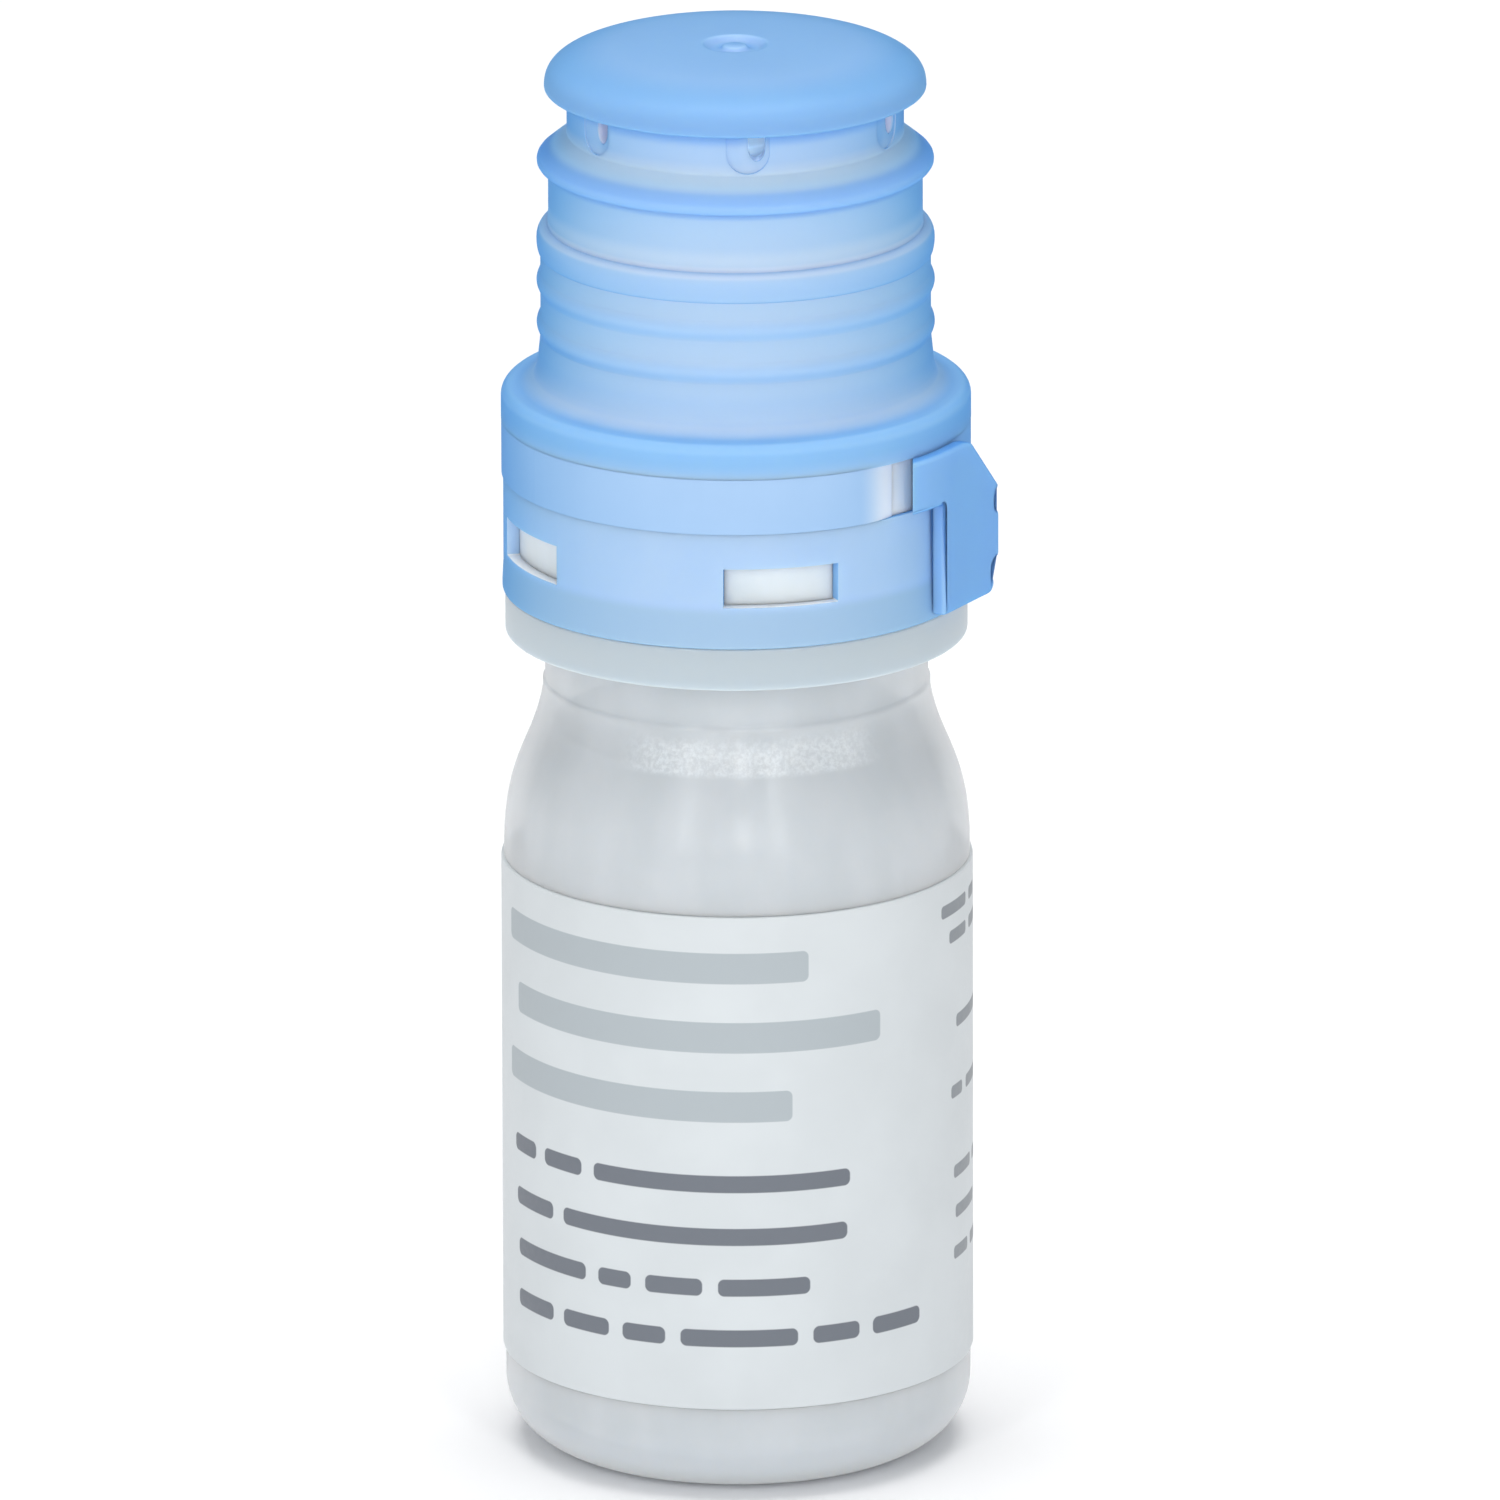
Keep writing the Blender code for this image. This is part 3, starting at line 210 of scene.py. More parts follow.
# Cap, from its flange to its disc
CAP = 11.06
FLANGE_TOP = 51.80
FLANGE_EDGE = 0.56
FLANGE_FOOT = ((9.6, 0.0), (9.3, 0.5), (9.28, 1.5))
RIB = 9.36
RIB_BASE = 9.18
RIB_HALF = 0.552
RIB_SHARPNESS = 0.7
RIB_LEVELS = (54.80, 56.86)
TOP_RIB_Z = 58.92
TOP_RIB_HALF = 0.7
TOP_RIB_BASE = 8.86
STEM = 8.8
TOP_RIB_CREASE = [(8.84, 59.68), (8.83, 59.8), (STEM, 60.3)]
THIN_RING = [
    (STEM, 62.35), (8.88, 62.45), (9.25, 62.53), (9.32, 62.64), (9.33, 62.76),
    (9.30, 62.88), (9.22, 62.99)]
CAP_NECK = 7.92
CAP_NECK_FOOT = [(7.95, 64.02), (CAP_NECK, 64.10), (CAP_NECK, 65.9)]
DISC = 8.98
DISC_UNDER = 66.11
DISC_RIM_Z = 66.33
DISC_TOP = 68.31
DISC_PULL = 7.23
DISC_PULL_Z = 67.86
DISC_FLAT = 8.3

# Curves of the disc: out from the neck and down from the underside, then back from the disc's
# edge and up from the underside, and the dimple's radii and depths
DISC_FILLET = ((0.02, 0.13), (0.08, 0.03), (0.18, 0.01))
DISC_EDGE = ((0.1, 0.01), (0.0, 0.07))
DIMPLE = 1.62
DIMPLE_DEPTHS = (
    (1.55, 0.01), (1.47, 0.05), (1.3, 0.23), (1.1, 0.29), (0.74, 0.29), (0.62, 0.23), (0.55, 0.11),
    (0.45, 0.07), (0, 0.06))
CAP_INSIDE = [
    (0, 67.07), (6.57, 67.07), (7.02, 66.62), (7.02, 63.40), (7.9, 62.10), (7.9, 58.2), (8.38, 57.4),
    (8.38, 51.13), (RING_IN, 51.13)]

# Vents in the cap's neck: a shallow well, and a narrower hole at its side
VENT_COUNT = 6
VENT_FIRST = 4.3
VENT_TOP = 66.0
VENT_OUT = 8.6
WELL_HALF = 1.02
WELL_Z = 65.16
WELL_IN = 7.8
HOLE_HALF = 0.41
HOLE_Z = 65.42
HOLE_DROP = 0.68
HOLE_IN = 6.3
HOLE_SHIFT = 0.42

# Nozzle
NOZZLE = 5.9
NOZZLE_BORE = 5.0
NOZZLE_Z = 51.83
NOZZLE_SHOULDER_Z = 56.53
NOZZLE_STEM = 2.45
NOZZLE_STEM_Z = 60.43
NOZZLE_PULLS = ((NOZZLE, 57.93), (NOZZLE_STEM, 58.73))
NOZZLE_TIP = 2.4
NOZZLE_TOP = 63.78
NOZZLE_EDGE = 0.6
NOZZLE_INSIDE = [
    (1.3, NOZZLE_TOP), (0.3, 63.48), (0.3, 63.18), (1.55, 62.38), (1.55, 58.73), (2.8, 58.33), (2.8, 57.43),
    (NOZZLE_BORE, 57.43)]

# Return spring
WIRE = 0.2
WIRE_SIDES = 10
SPRING = 1.9
SPRING_Z = 51.03
SPRING_LENGTH = 5.8
SPRING_COILS = 5
SPRING_STEPS = 28


def tone(red, green, blue):
    """A colour given by its screen values from 0 to 255, as a linear colour."""
    values = []
    for value in (red, green, blue):
        share = value / 255.0
        values.append(share / 12.92 if share <= 0.04045 else ((share + 0.055) / 1.055) ** 2.4)
    return (*values, 1.0)


def around(radius, azimuth_deg, height=0.0):
    """The point at a radius, azimuth and height, given in millimetres."""
    turn = math.radians(azimuth_deg)
    return Vector((radius * math.sin(turn), -radius * math.cos(turn), height)) * MM


# Shapes


def finish_mesh(name, shape, look, sharp=SHARP_EDGE_ANGLE):
    """Turn a bmesh into a smooth-shaded object."""
    bmesh.ops.recalc_face_normals(shape, faces=shape.faces)
    mesh = bpy.data.meshes.new(name)
    shape.to_mesh(mesh)
    shape.free()
    mesh.materials.append(look.material)
    mesh.shade_smooth()
    mesh.set_sharp_from_angle(angle=sharp)
    made = bpy.data.objects.new(name, mesh)
    bpy.context.scene.collection.objects.link(made)
    return made


def soften(outline, reach, steps=3, least_bend=math.radians(12.0)):
    """Round each corner of a closed outline with a small curve that starts a reach before it."""
    points = [Vector(p) for p in outline]
    made = []
    for k, here in enumerate(points):
        before = points[k - 1] - here
        after = points[(k + 1) % len(points)] - here
        if math.pi - before.angle(after) < least_bend:
            made.append(tuple(here))
            continue
        first = here + before.normalized() * min(reach, before.length * 0.45)
        last = here + after.normalized() * min(reach, after.length * 0.45)
        for step in range(steps + 1):
            t = step / steps
            made.append(tuple(first * (1 - t) ** 2 + here * 2 * t * (1 - t) + last * t ** 2))
    return made


def box(inner, outer, low, high):
    """A section with straight sides, as (radius, height) points."""
    return [(inner, low), (outer, low), (outer, high), (inner, high)]


def turned(name, outline, look, steps=ROUND_STEPS):
    """Turn an outline of (radius, height) points round the Z axis."""
    shape = bmesh.new()
    rings = []
    for radius, height in outline:
        if radius < 1e-6:
            rings.append([shape.verts.new((0, 0, height * MM))])
        else:
            rings.append([shape.verts.new(around(radius, 360.0 * k / steps, height)) for k in range(steps)])
    pairs = list(zip(rings, rings[1:]))
    if outline[0][0] > 1e-6:
        pairs.append((rings[-1], rings[0]))
    for lower, upper in pairs:
        for k in range(steps):
            after = (k + 1) % steps
            corners = [lower[k % len(lower)], lower[after % len(lower)]]
            corners += [upper[after % len(upper)], upper[k % len(upper)]]
            corners = list(dict.fromkeys(corners))
            if len(corners) > 2:
                shape.faces.new(corners)
    return finish_mesh(name, shape, look)


def skin_between(shape, loops):
    """Join each closed loop of corners to the next with a band of faces, and close both ends."""
    for one, two in zip(loops, loops[1:]):
        for k in range(len(one)):
            after = (k + 1) % len(one)
            shape.faces.new((one[k], one[after], two[after], two[k]))
    shape.faces.new(loops[0])
    shape.faces.new(loops[-1])


def swept(name, section, start_deg, end_deg, look, step_deg=2.0):
    """Sweep a closed section round the axis between two azimuths, with flat ends.

    The section is a list of (radius, height) points or a function of the azimuth.
    """
    count = max(2, math.ceil(abs(end_deg - start_deg) / step_deg))
    shape = bmesh.new()
    slices = []
    for k in range(count + 1):
        azimuth = start_deg + (end_deg - start_deg) * k / count
        points = section(azimuth) if callable(section) else section
        slices.append([shape.verts.new(around(r, azimuth, z)) for r, z in points])
    skin_between(shape, slices)
    return finish_mesh(name, shape, look)


def combine(target, tool, operation="DIFFERENCE"):
    """Cut the tool from the target, or join it to the target, and drop the tool."""
    modifier = target.modifiers.new(tool.name, "BOOLEAN")
    modifier.operation = operation
    modifier.solver = "EXACT"
    modifier.object = tool
    with bpy.context.temp_override(object=target, active_object=target):
        bpy.ops.object.modifier_apply(modifier=modifier.name)
    bpy.data.objects.remove(tool, do_unlink=True)
    target.data.shade_smooth()
    target.data.set_sharp_from_angle(angle=SHARP_EDGE_ANGLE)


def curve_points(start, first_pull, last_pull, end, steps):
    """Points of a cubic curve after its start, up to and with its end."""
    points = []
    for k in range(1, steps + 1):
        t = k / steps
        rest = 1 - t
        weights = (rest ** 3, 3 * rest ** 2 * t, 3 * rest * t ** 2, t ** 3)
        spots = (start, first_pull, last_pull, end)
        points.append(tuple(sum(w * s[axis] for w, s in zip(weights, spots)) for axis in (0, 1)))
    return points


def arc_points(centre, radius, start_deg, end_deg, steps):
    """Points of an arc in the outline plane, with both ends."""
    points = []
    for k in range(steps + 1):
        turn = math.radians(start_deg + (end_deg - start_deg) * k / steps)
        points.append((centre[0] + radius * math.cos(turn), centre[1] + radius * math.sin(turn)))
    return points


# Materials


class Look:
    """A Principled material and short ways to add nodes to it."""

    def __init__(self, name):
        self.material = bpy.data.materials.new(name)
        self.material.use_nodes = True
        self.tree = self.material.node_tree
        self.shader = self.tree.nodes["Principled BSDF"]
        self.place = self.node("ShaderNodeTexCoord").outputs["Object"]

    def node(self, kind, **values):
        made = self.tree.nodes.new(kind)
        for key, value in values.items():
            setattr(made, key, value)
        return made

    def link(self, source, target):
        self.tree.links.new(source, target)

    def feed(self, socket, value):
        """Link a socket to the target socket, or give it a plain value."""
        if isinstance(value, bpy.types.NodeSocket):
            self.link(value, socket)
        else:
            socket.default_value = value

    def paint(self, name, value):
        """Feed an input of the shader."""
        self.feed(self.shader.inputs[name], value)

    def set(self, **values):
        """Set inputs of the shader, with _ for each space in their names."""
        for key, value in values.items():
            self.shader.inputs[key.replace("_", " ")].default_value = value

    def math(self, operation, *values):
        made = self.node("ShaderNodeMath", operation=operation)
        for socket, value in zip(made.inputs, values):
            self.feed(socket, value)
        return made.outputs[0]

    def times(self, one, two):
        return self.math("MULTIPLY", one, two)

    def either(self, one, two):
        """The larger of two masks."""
        return self.math("MAXIMUM", one, two)

    def length(self, one, two):
        """The length of a step with two sides at right angles."""
        return self.math("SQRT", self.math("ADD", self.math("POWER", one, 2.0), self.math("POWER", two, 2.0)))

    def noise(self, scale, detail=3.0, roughness=0.5, stretch=(1, 1, 1)):
        place = self.place
        if stretch != (1, 1, 1):
            spread = self.node("ShaderNodeMapping")
            spread.inputs["Scale"].default_value = stretch
            self.link(place, spread.inputs["Vector"])
            place = spread.outputs[0]
        made = self.node("ShaderNodeTexNoise")
        made.inputs["Scale"].default_value = scale
        made.inputs["Detail"].default_value = detail
        made.inputs["Roughness"].default_value = roughness
        self.link(place, made.inputs["Vector"])
        return made.outputs["Fac"]

    def spread(self, value, low, high, to_low=0.0, to_high=1.0):
        """A smooth ramp from one value at low to another at high."""
        made = self.node("ShaderNodeMapRange")
        made.interpolation_type = "SMOOTHSTEP"
        for name, number in (("From Min", low), ("From Max", high), ("To Min", to_low), ("To Max", to_high)):
            made.inputs[name].default_value = number
        self.feed(made.inputs["Value"], value)
        return made.outputs["Result"]

    def mix(self, share, one, two):
        """Colour one, changed to colour two by a share."""
        made = self.node("ShaderNodeMix", data_type="RGBA")
        self.feed(made.inputs[0], share)
        self.feed(made.inputs[6], one)
        self.feed(made.inputs[7], two)
        return made.outputs[2]

    def layered(self, colour, layers):
        """A colour with layers over it, each a pair of a colour and a function that gives its mask."""
        for over, where in layers:
            colour = self.mix(where(self), colour, over)
        return colour

    def bump(self, *layers):
        """Add bump layers, each a (height socket, distance in metres, strength)."""
        normal = None
        for height, distance, strength in layers:
            made = self.node("ShaderNodeBump")
            made.inputs["Strength"].default_value = strength
            made.inputs["Distance"].default_value = distance
            self.link(height, made.inputs["Height"])
            if normal is not None:
                self.link(normal, made.inputs["Normal"])
            normal = made.outputs["Normal"]
        self.link(normal, self.shader.inputs["Normal"])

    def cylinder(self):
        """Height and radius in millimetres and azimuth in degrees."""
        made = self.node("ShaderNodeSeparateXYZ")
        self.link(self.place, made.inputs[0])
        x, y, z = made.outputs
        radius = self.times(self.length(x, y), 1000.0)
        turn = self.math("ARCTAN2", x, self.times(y, -1.0))
        return self.times(z, 1000.0), radius, self.times(turn, math.degrees(1.0))

    def band(self, value, low, high, edge):
        """A mask that is 1 between two values and fades over an edge at both ends."""
        rise = self.spread(value, low - edge, low + edge)
        return self.times(rise, self.spread(value, high + edge, high - edge))

    def patch(self, place, band, reach):
        """A mask for a band of heights that fades with the radius."""
        z, radius, _ = place
        return self.times(self.band(z, *band), self.spread(radius, *reach))


# Where the looks change. A fade is (from, to) or (from, to, mask at from, mask at to) and a band is
# (low, high, edge), in millimetres of height or radius or in degrees. A patch is a band and a fade.
DISC_THICK_FADE = (65.3, 65.9)
DISC_FADE = (65.85, 66.1)
DISC_MIDDLE_FADE = (66.7, 67.1)
DISC_MIDDLE_REACH = (8.3, 5.6)
THIN_RING_PATCH = ((62.2, 63.7, 0.15), (8.35, 8.95))
RIB_REACH = (9.2, 9.36)
RIB_FADE = (61.0, 60.0, 0.0, 0.35)
RIB_FOOT_PATCH = ((59.7, 60.5, 0.35), (9.25, 8.95))
RIB_SHELF_PATCH = ((59.35, 59.85, 0.1), (9.34, 9.2))
STEM_BAND = (52.5, 62.3, 0.15)
NECK_BAND = (64.1, 65.9, 0.15)
NECK_FOOT_PATCH = ((63.75, 64.5, 0.25), (7.7, 7.85))
SLOPE_PATCH = ((63.45, 64.2, 0.15), (9.25, 9.0, 0.0, 0.6))
VENT_PATCH = ((63.75, 66.4, 0.15), (7.82, 7.7))
FLANGE_CORE = (10.9, 51.35)
FLANGE_CORE_FADE = (1.5, 0.4)
FLANGE_FOOT_PATCH = ((52.0, 52.9, 0.6), (10.3, 9.7))
FLANGE_SHELF_PATCH = ((51.4, 51.95, 0.12), (10.1, 10.5))
FLANGE_TOP_PATCH = ((51.68, 52.3, 0.12), (11.0, 10.7))
SILL_PATCH = ((43.5, 43.96, 0.03), (10.97, 10.9))
RING_LOW_FADE = (44.1, 43.5)
FEATHER_FADE = (31.0, 41.0, 0.0, 0.85)
COLLAR_FADE = (42.0, 41.7)
BASE_FADE = (3.4, 0.4)
FOAM_RISE_FADE = (LIQUID_Z - 0.05, LIQUID_Z + 0.3)
FOAM_FALL_FADE = (LIQUID_Z + 2.7, LIQUID_Z + 1.7)
FOAM_ACROSS_BAND = (-30.0, 40.0, 8.0)
FOAM_GRAIN_FADE = (0.34, 0.68, 0.22, 0.7)

# Shares of the masks that are only partly seen
FOOT_SHARE = 0.2
RIB_SHELF_SHARE = 0.3
FLANGE_SHELF_SHARE = 0.15
FLANGE_TOP_SHARE = 0.6


def thick_cap(look):
    """Where the cap's plastic is thick: the disc, the thin ring's edge and the ribs."""
    z, radius, _ = place = look.cylinder()
    disc = look.spread(z, *DISC_THICK_FADE)
    ring = look.patch(place, *THIN_RING_PATCH)
    ribs = look.times(look.spread(radius, *RIB_REACH), look.spread(z, *RIB_FADE))
    return look.either(look.either(disc, ring), ribs)


def thick_flange(look):
    """The cap's flange, where the plastic is thickest."""
    z, radius, _ = look.cylinder()
    core_radius, core_z = FLANGE_CORE
    away = look.length(look.math("SUBTRACT", z, core_z), look.math("SUBTRACT", radius, core_radius))
    return look.spread(away, *FLANGE_CORE_FADE)


def stem_wall(look):
    """The cap's wall between the flange and the thin ring, and between the thin ring and the disc, painted
    paler: partly the thin plastic's own tone and partly painted light from the white parts inside.
    """
    z, _, _ = look.cylinder()
    return look.either(look.band(z, *STEM_BAND), look.band(z, *NECK_BAND))


def painted_glow_feet(look):
    """Painted light on the feet of the cap's walls above the flange, the highest rib and the thin ring, which
    lifts the shade in the creases there.
    """
    place = look.cylinder()
    flange, rib_top, neck = [
        look.times(look.patch(place, *patch), FOOT_SHARE)
        for patch in (FLANGE_FOOT_PATCH, RIB_FOOT_PATCH, NECK_FOOT_PATCH)]
    return look.either(look.either(flange, rib_top), neck)


def painted_light_slope(look):
    """The slope of the thin ring below the cap's neck, painted paler to lift the shade that the disc above
    casts on it.
    """
    return look.patch(look.cylinder(), *SLOPE_PATCH)


def vent_walls(look):
    """The walls of the vents and the inside of the cap's neck, which light fills."""
    return look.patch(look.cylinder(), *VENT_PATCH)


def rib_shelf(look):
    """The upper sides of the highest rib and of the flange's edge, which light fills from inside."""
    place = look.cylinder()
    rib_top = look.times(look.patch(place, *RIB_SHELF_PATCH), RIB_SHELF_SHARE)
    return look.either(rib_top, look.times(look.patch(place, *FLANGE_SHELF_PATCH), FLANGE_SHELF_SHARE))


def painted_light_tops(look):
    """The cap's disc and the top of its flange, where a paler coat tint paints the light that falls on them
    from above.
    """
    place = look.cylinder()
    flange = look.times(look.patch(place, *FLANGE_TOP_PATCH), FLANGE_TOP_SHARE)
    return look.either(look.spread(place[0], *DISC_FADE), flange)


def whole_disc(look):
    """The cap's disc."""
    return look.spread(look.cylinder()[0], *DISC_FADE)


def thin_disc(look):
    """The thin middle of the cap's disc."""
    z, radius, _ = look.cylinder()
    return look.times(look.spread(z, *DISC_MIDDLE_FADE), look.spread(radius, *DISC_MIDDLE_REACH))


def window_sills(look):
    """The sills of the ring's windows, where white light comes through."""
    return look.patch(look.cylinder(), *SILL_PATCH)


def low_band(look):
    """The part of the anchor ring below its windows."""
    return look.spread(look.cylinder()[0], *RING_LOW_FADE)


def feather(look):
    """The thin end of the tear strip, where the white wall shows through."""
    return look.spread(look.cylinder()[2], *FEATHER_FADE)


def low_collar(look):
    """The thin collar below the ledge."""
    return look.spread(look.cylinder()[0], *COLLAR_FADE)


def base_edge(look):
    """The rounded foot of the bottle, where light comes through from below."""
    return look.spread(look.cylinder()[0], *BASE_FADE)


def foam_film(look):
    """A film of fine foam on the wall above the eye drops."""
    z, _, turn = look.cylinder()
    rise = look.spread(z, *FOAM_RISE_FADE)
    fall = look.spread(look.math("ADD", z, look.noise(240.0)), *FOAM_FALL_FADE)
    across = look.band(turn, *FOAM_ACROSS_BAND)
    grain = look.spread(look.noise(4200.0, detail=4.0, roughness=0.7), *FOAM_GRAIN_FADE)
    return look.times(look.times(rise, fall), look.times(across, grain))


# Each plastic has a light and a dark tone, which its clouds mix
PALE_BLUE = (tone(228, 231, 250), tone(222, 228, 249))
STRIP_BLUE = (tone(217, 226, 245), tone(213, 223, 243))
DEEP_BLUE = tone(193, 214, 247)
TAB_BLUE = (tone(194, 217, 250), DEEP_BLUE)
WHITE = (tone(228, 236, 240), tone(220, 229, 233))
NATURAL = (tone(225, 230, 234), tone(218, 224, 228))
CLEAR = (tone(220, 225, 229), tone(215, 221, 225))
BUBBLE = (tone(250, 252, 253), tone(240, 244, 247))
SILICONE = (tone(216, 216, 212), tone(206, 206, 202))
MEMBRANE = (tone(244, 244, 240), tone(230, 230, 226))
STEEL = (tone(150, 152, 156), tone(196, 198, 202))

# Tones of single places
# The stem's paler tone: partly the thin plastic's own tone, partly painted light from the white parts inside
STEM_THIN_GLOW_BLUE = tone(239, 236, 251)
FLANGE_BLUE = tone(187, 216, 243)
DISC_BLUE = tone(159, 194, 231)
DISC_MIDDLE_BLUE = tone(187, 206, 236)
# Painted light: a near-white tone over the shade in the creases at the feet of the cap's walls
FOOT_GLOW_BLUE = tone(246, 248, 253)
# Painted light over the shade that the disc casts on the thin ring's slope
SLOPE_PAINTED_LIGHT_BLUE = tone(240, 245, 254)
RING_LOW_BLUE = tone(214, 221, 232)
# Painted light on the sills of the ring's windows, over their shade
SILL_PAINTED_LIGHT_WHITE = tone(244, 247, 250)
FEATHER_WHITE = tone(240, 244, 248)
COLLAR_GREY = tone(192, 204, 211)
FILM_WHITE = tone(240, 245, 248)
# Painted light on the bottle's foot, over its shade
BASE_GLOW_WHITE = tone(236, 243, 250)

# Tints of the clear skin on the blue pieces
BLUE_TINT = (0.58, 0.78, 0.94, 1.0)
STEM_TINT = (0.52, 0.75, 0.93, 1.0)
# Painted light: a paler tint on the disc and the flange's top, the faces that light falls on from above
PAINTED_LIGHT_TOP_TINT = (0.72, 0.86, 0.95, 1.0)
# Painted light: a paler tint on the thin ring's slope, which the disc shades
SLOPE_PAINTED_LIGHT_TINT = (0.68, 0.86, 1.0, 1.0)
VENT_TINT = (0.9, 0.96, 1.0, 1.0)
# Painted light: a near-clear tint on the feet of the cap's walls and on the upper sides of the highest rib
# and the flange's edge
SHELF_TINT = (0.95, 0.98, 1.0, 1.0)
CLEAR_TINT = (0.98, 0.99, 1.0, 1.0)

# How far red, green and blue light scatters in a plastic, and the scale of it in metres
BLUE_SCATTER = (0.9, 0.95, 1.0)
WHITE_SCATTER = (1.2, 1.3, 1.4)
NATURAL_SCATTER = (1.4, 1.5, 1.6)
EVEN_SCATTER = (1.0, 1.0, 1.0)
CLEAR_SCATTER = (3.0, 3.0, 3.0)
SILICONE_SCATTER = (1.2, 1.2, 1.2)
MEMBRANE_SCATTER = (0.4, 0.4, 0.4)
DEPTH = 0.001
SHALLOW = 0.0005

# Sizes of the noises, per metre, and the bumps that they make: distance in metres and strength
CLOUD_SCALE = 260.0
FLOW_SCALE = 420.0
WAVE_SCALE = 700.0
SKIN_SCALE = 5200.0
MEMBRANE_SCALE = 3000.0
CLOUD_RANGE = (0.35, 0.65)
NOISE_RANGE = (0.3, 0.7)
ROUGHNESS_SWING = 0.05
WAVE_BUMP = (0.00002, 0.35)
SKIN_BUMP = (0.000006, 0.35)


def plastic(name, tones, scatter, roughness, depth=DEPTH, cloud_scale=CLOUD_SCALE, layers=()):
    """Satin moulded plastic with faint clouds, flow marks and a fine skin texture."""
    light, dark = tones
    look = Look(name)
    clouds = look.noise(cloud_scale, detail=4.0, roughness=0.55)
    flow = look.noise(FLOW_SCALE, detail=2.0, stretch=(1.0, 1.0, 0.25))
    share = look.math("MULTIPLY_ADD", flow, 0.5, look.times(clouds, 0.5))
    shade = look.mix(look.spread(share, *CLOUD_RANGE), dark, light)
    look.paint("Base Color", look.layered(shade, layers))
    swing = (roughness - ROUGHNESS_SWING, roughness + ROUGHNESS_SWING)
    look.paint("Roughness", look.spread(clouds, *NOISE_RANGE, *swing))
    skin = look.noise(SKIN_SCALE, detail=2.0, roughness=0.6)
    wave = look.noise(WAVE_SCALE, detail=2.0)
    look.bump((wave, *WAVE_BUMP), (skin, *SKIN_BUMP))
    look.set(Subsurface_Weight=1.0, Subsurface_Radius=scatter, Subsurface_Scale=depth, IOR=1.5)
    return look


def blue_plastic(name, tones, roughness=0.42, depth=SHALLOW, layers=(), tints=()):
    """Blue plastic under a clear blue skin, which looks deeper where it is seen at a slant."""
    look = plastic(name, tones, BLUE_SCATTER, roughness, depth, layers=layers)
    look.set(Coat_Weight=1.0, Coat_Roughness=0.5, Coat_IOR=1.05, Specular_IOR_Level=0.2)
    look.paint("Coat Tint", look.layered(BLUE_TINT, tints))
    return look


def cap_look():
    """The cap: deep where its plastic is thick, pale where light fills it from inside."""
    return blue_plastic(
        "cap_polyethylene", PALE_BLUE,
        layers=[
            (STEM_THIN_GLOW_BLUE, stem_wall), (DEEP_BLUE, thick_cap), (FLANGE_BLUE, thick_flange),
            (DISC_BLUE, whole_disc), (DISC_MIDDLE_BLUE, thin_disc), (SLOPE_PAINTED_LIGHT_BLUE, painted_light_slope),
            (FOOT_GLOW_BLUE, painted_glow_feet)],
        tints=[
            (STEM_TINT, stem_wall), (PAINTED_LIGHT_TOP_TINT, painted_light_tops), (SHELF_TINT, rib_shelf),
            (SLOPE_PAINTED_LIGHT_TINT, painted_light_slope), (VENT_TINT, vent_walls), (SHELF_TINT, painted_glow_feet)])


def ring_look():
    """The anchor ring, with the sills of its windows painted paler, as painted light over their shade."""
    return blue_plastic(
        "ring_polyethylene", PALE_BLUE,
        layers=[(RING_LOW_BLUE, low_band), (SILL_PAINTED_LIGHT_WHITE, window_sills)], tints=[(CLEAR_TINT, window_sills)])


def strip_look():
    """The tear strip."""
    look = blue_plastic("strip_polyethylene", STRIP_BLUE, depth=DEPTH)
    look.set(Subsurface_Weight=0.0)
    return look


def strip_end_look():
    """The tear strip's thin fixed end, which fades to white."""
    look = blue_plastic(
        "strip_end_polyethylene", STRIP_BLUE, depth=DEPTH,
        layers=[(FEATHER_WHITE, feather)], tints=[(CLEAR_TINT, feather)])
    look.set(Subsurface_Weight=0.0)
    return look


def body_look():
    """The bottle: translucent, with a soft shine, and a foot painted lighter and given more sheen, as painted
    light over its shade.
    """
    look = plastic(
        "bottle_polyethylene", NATURAL, NATURAL_SCATTER, 0.36, SHALLOW,
        layers=[(FILM_WHITE, foam_film), (BASE_GLOW_WHITE, base_edge)])
    look.paint("Alpha", look.math("MULTIPLY_ADD", foam_film(look), 0.2, 0.72))
    look.paint("Sheen Weight", look.math("MULTIPLY_ADD", base_edge(look), 0.85, 0.15))
    look.set(Sheen_Roughness=0.5, Coat_Weight=0.3, Coat_Roughness=0.16)
    return look


def inner_wall_look():
    """The bottle's inner wall, clear apart from a film of fine foam above the eye drops."""
    look = plastic("bottle_inner_wall", BUBBLE, EVEN_SCATTER, 0.36)
    look.paint("Alpha", look.math("MULTIPLY_ADD", foam_film(look), 0.8, 0.12))
    look.set(Subsurface_Weight=0.0)
    return look


def liquid_look():
    """The eye drops, a smooth pale surface seen through the bottle."""
    look = plastic("eye_drops", CLEAR, CLEAR_SCATTER, 0.1)
    look.set(Subsurface_Weight=0.0)
    return look


def steel_look():
    """Drawn stainless wire."""
    look = Look("spring_steel")
    drawn = look.noise(2600.0, detail=2.0, stretch=(1.0, 1.0, 6.0))
    look.paint("Base Color", look.mix(look.spread(drawn, *NOISE_RANGE), *STEEL))
    look.paint("Roughness", look.spread(drawn, *NOISE_RANGE, 0.2, 0.34))
    look.bump((drawn, 0.000004, 0.4))
    look.set(Metallic=1.0)
    return look


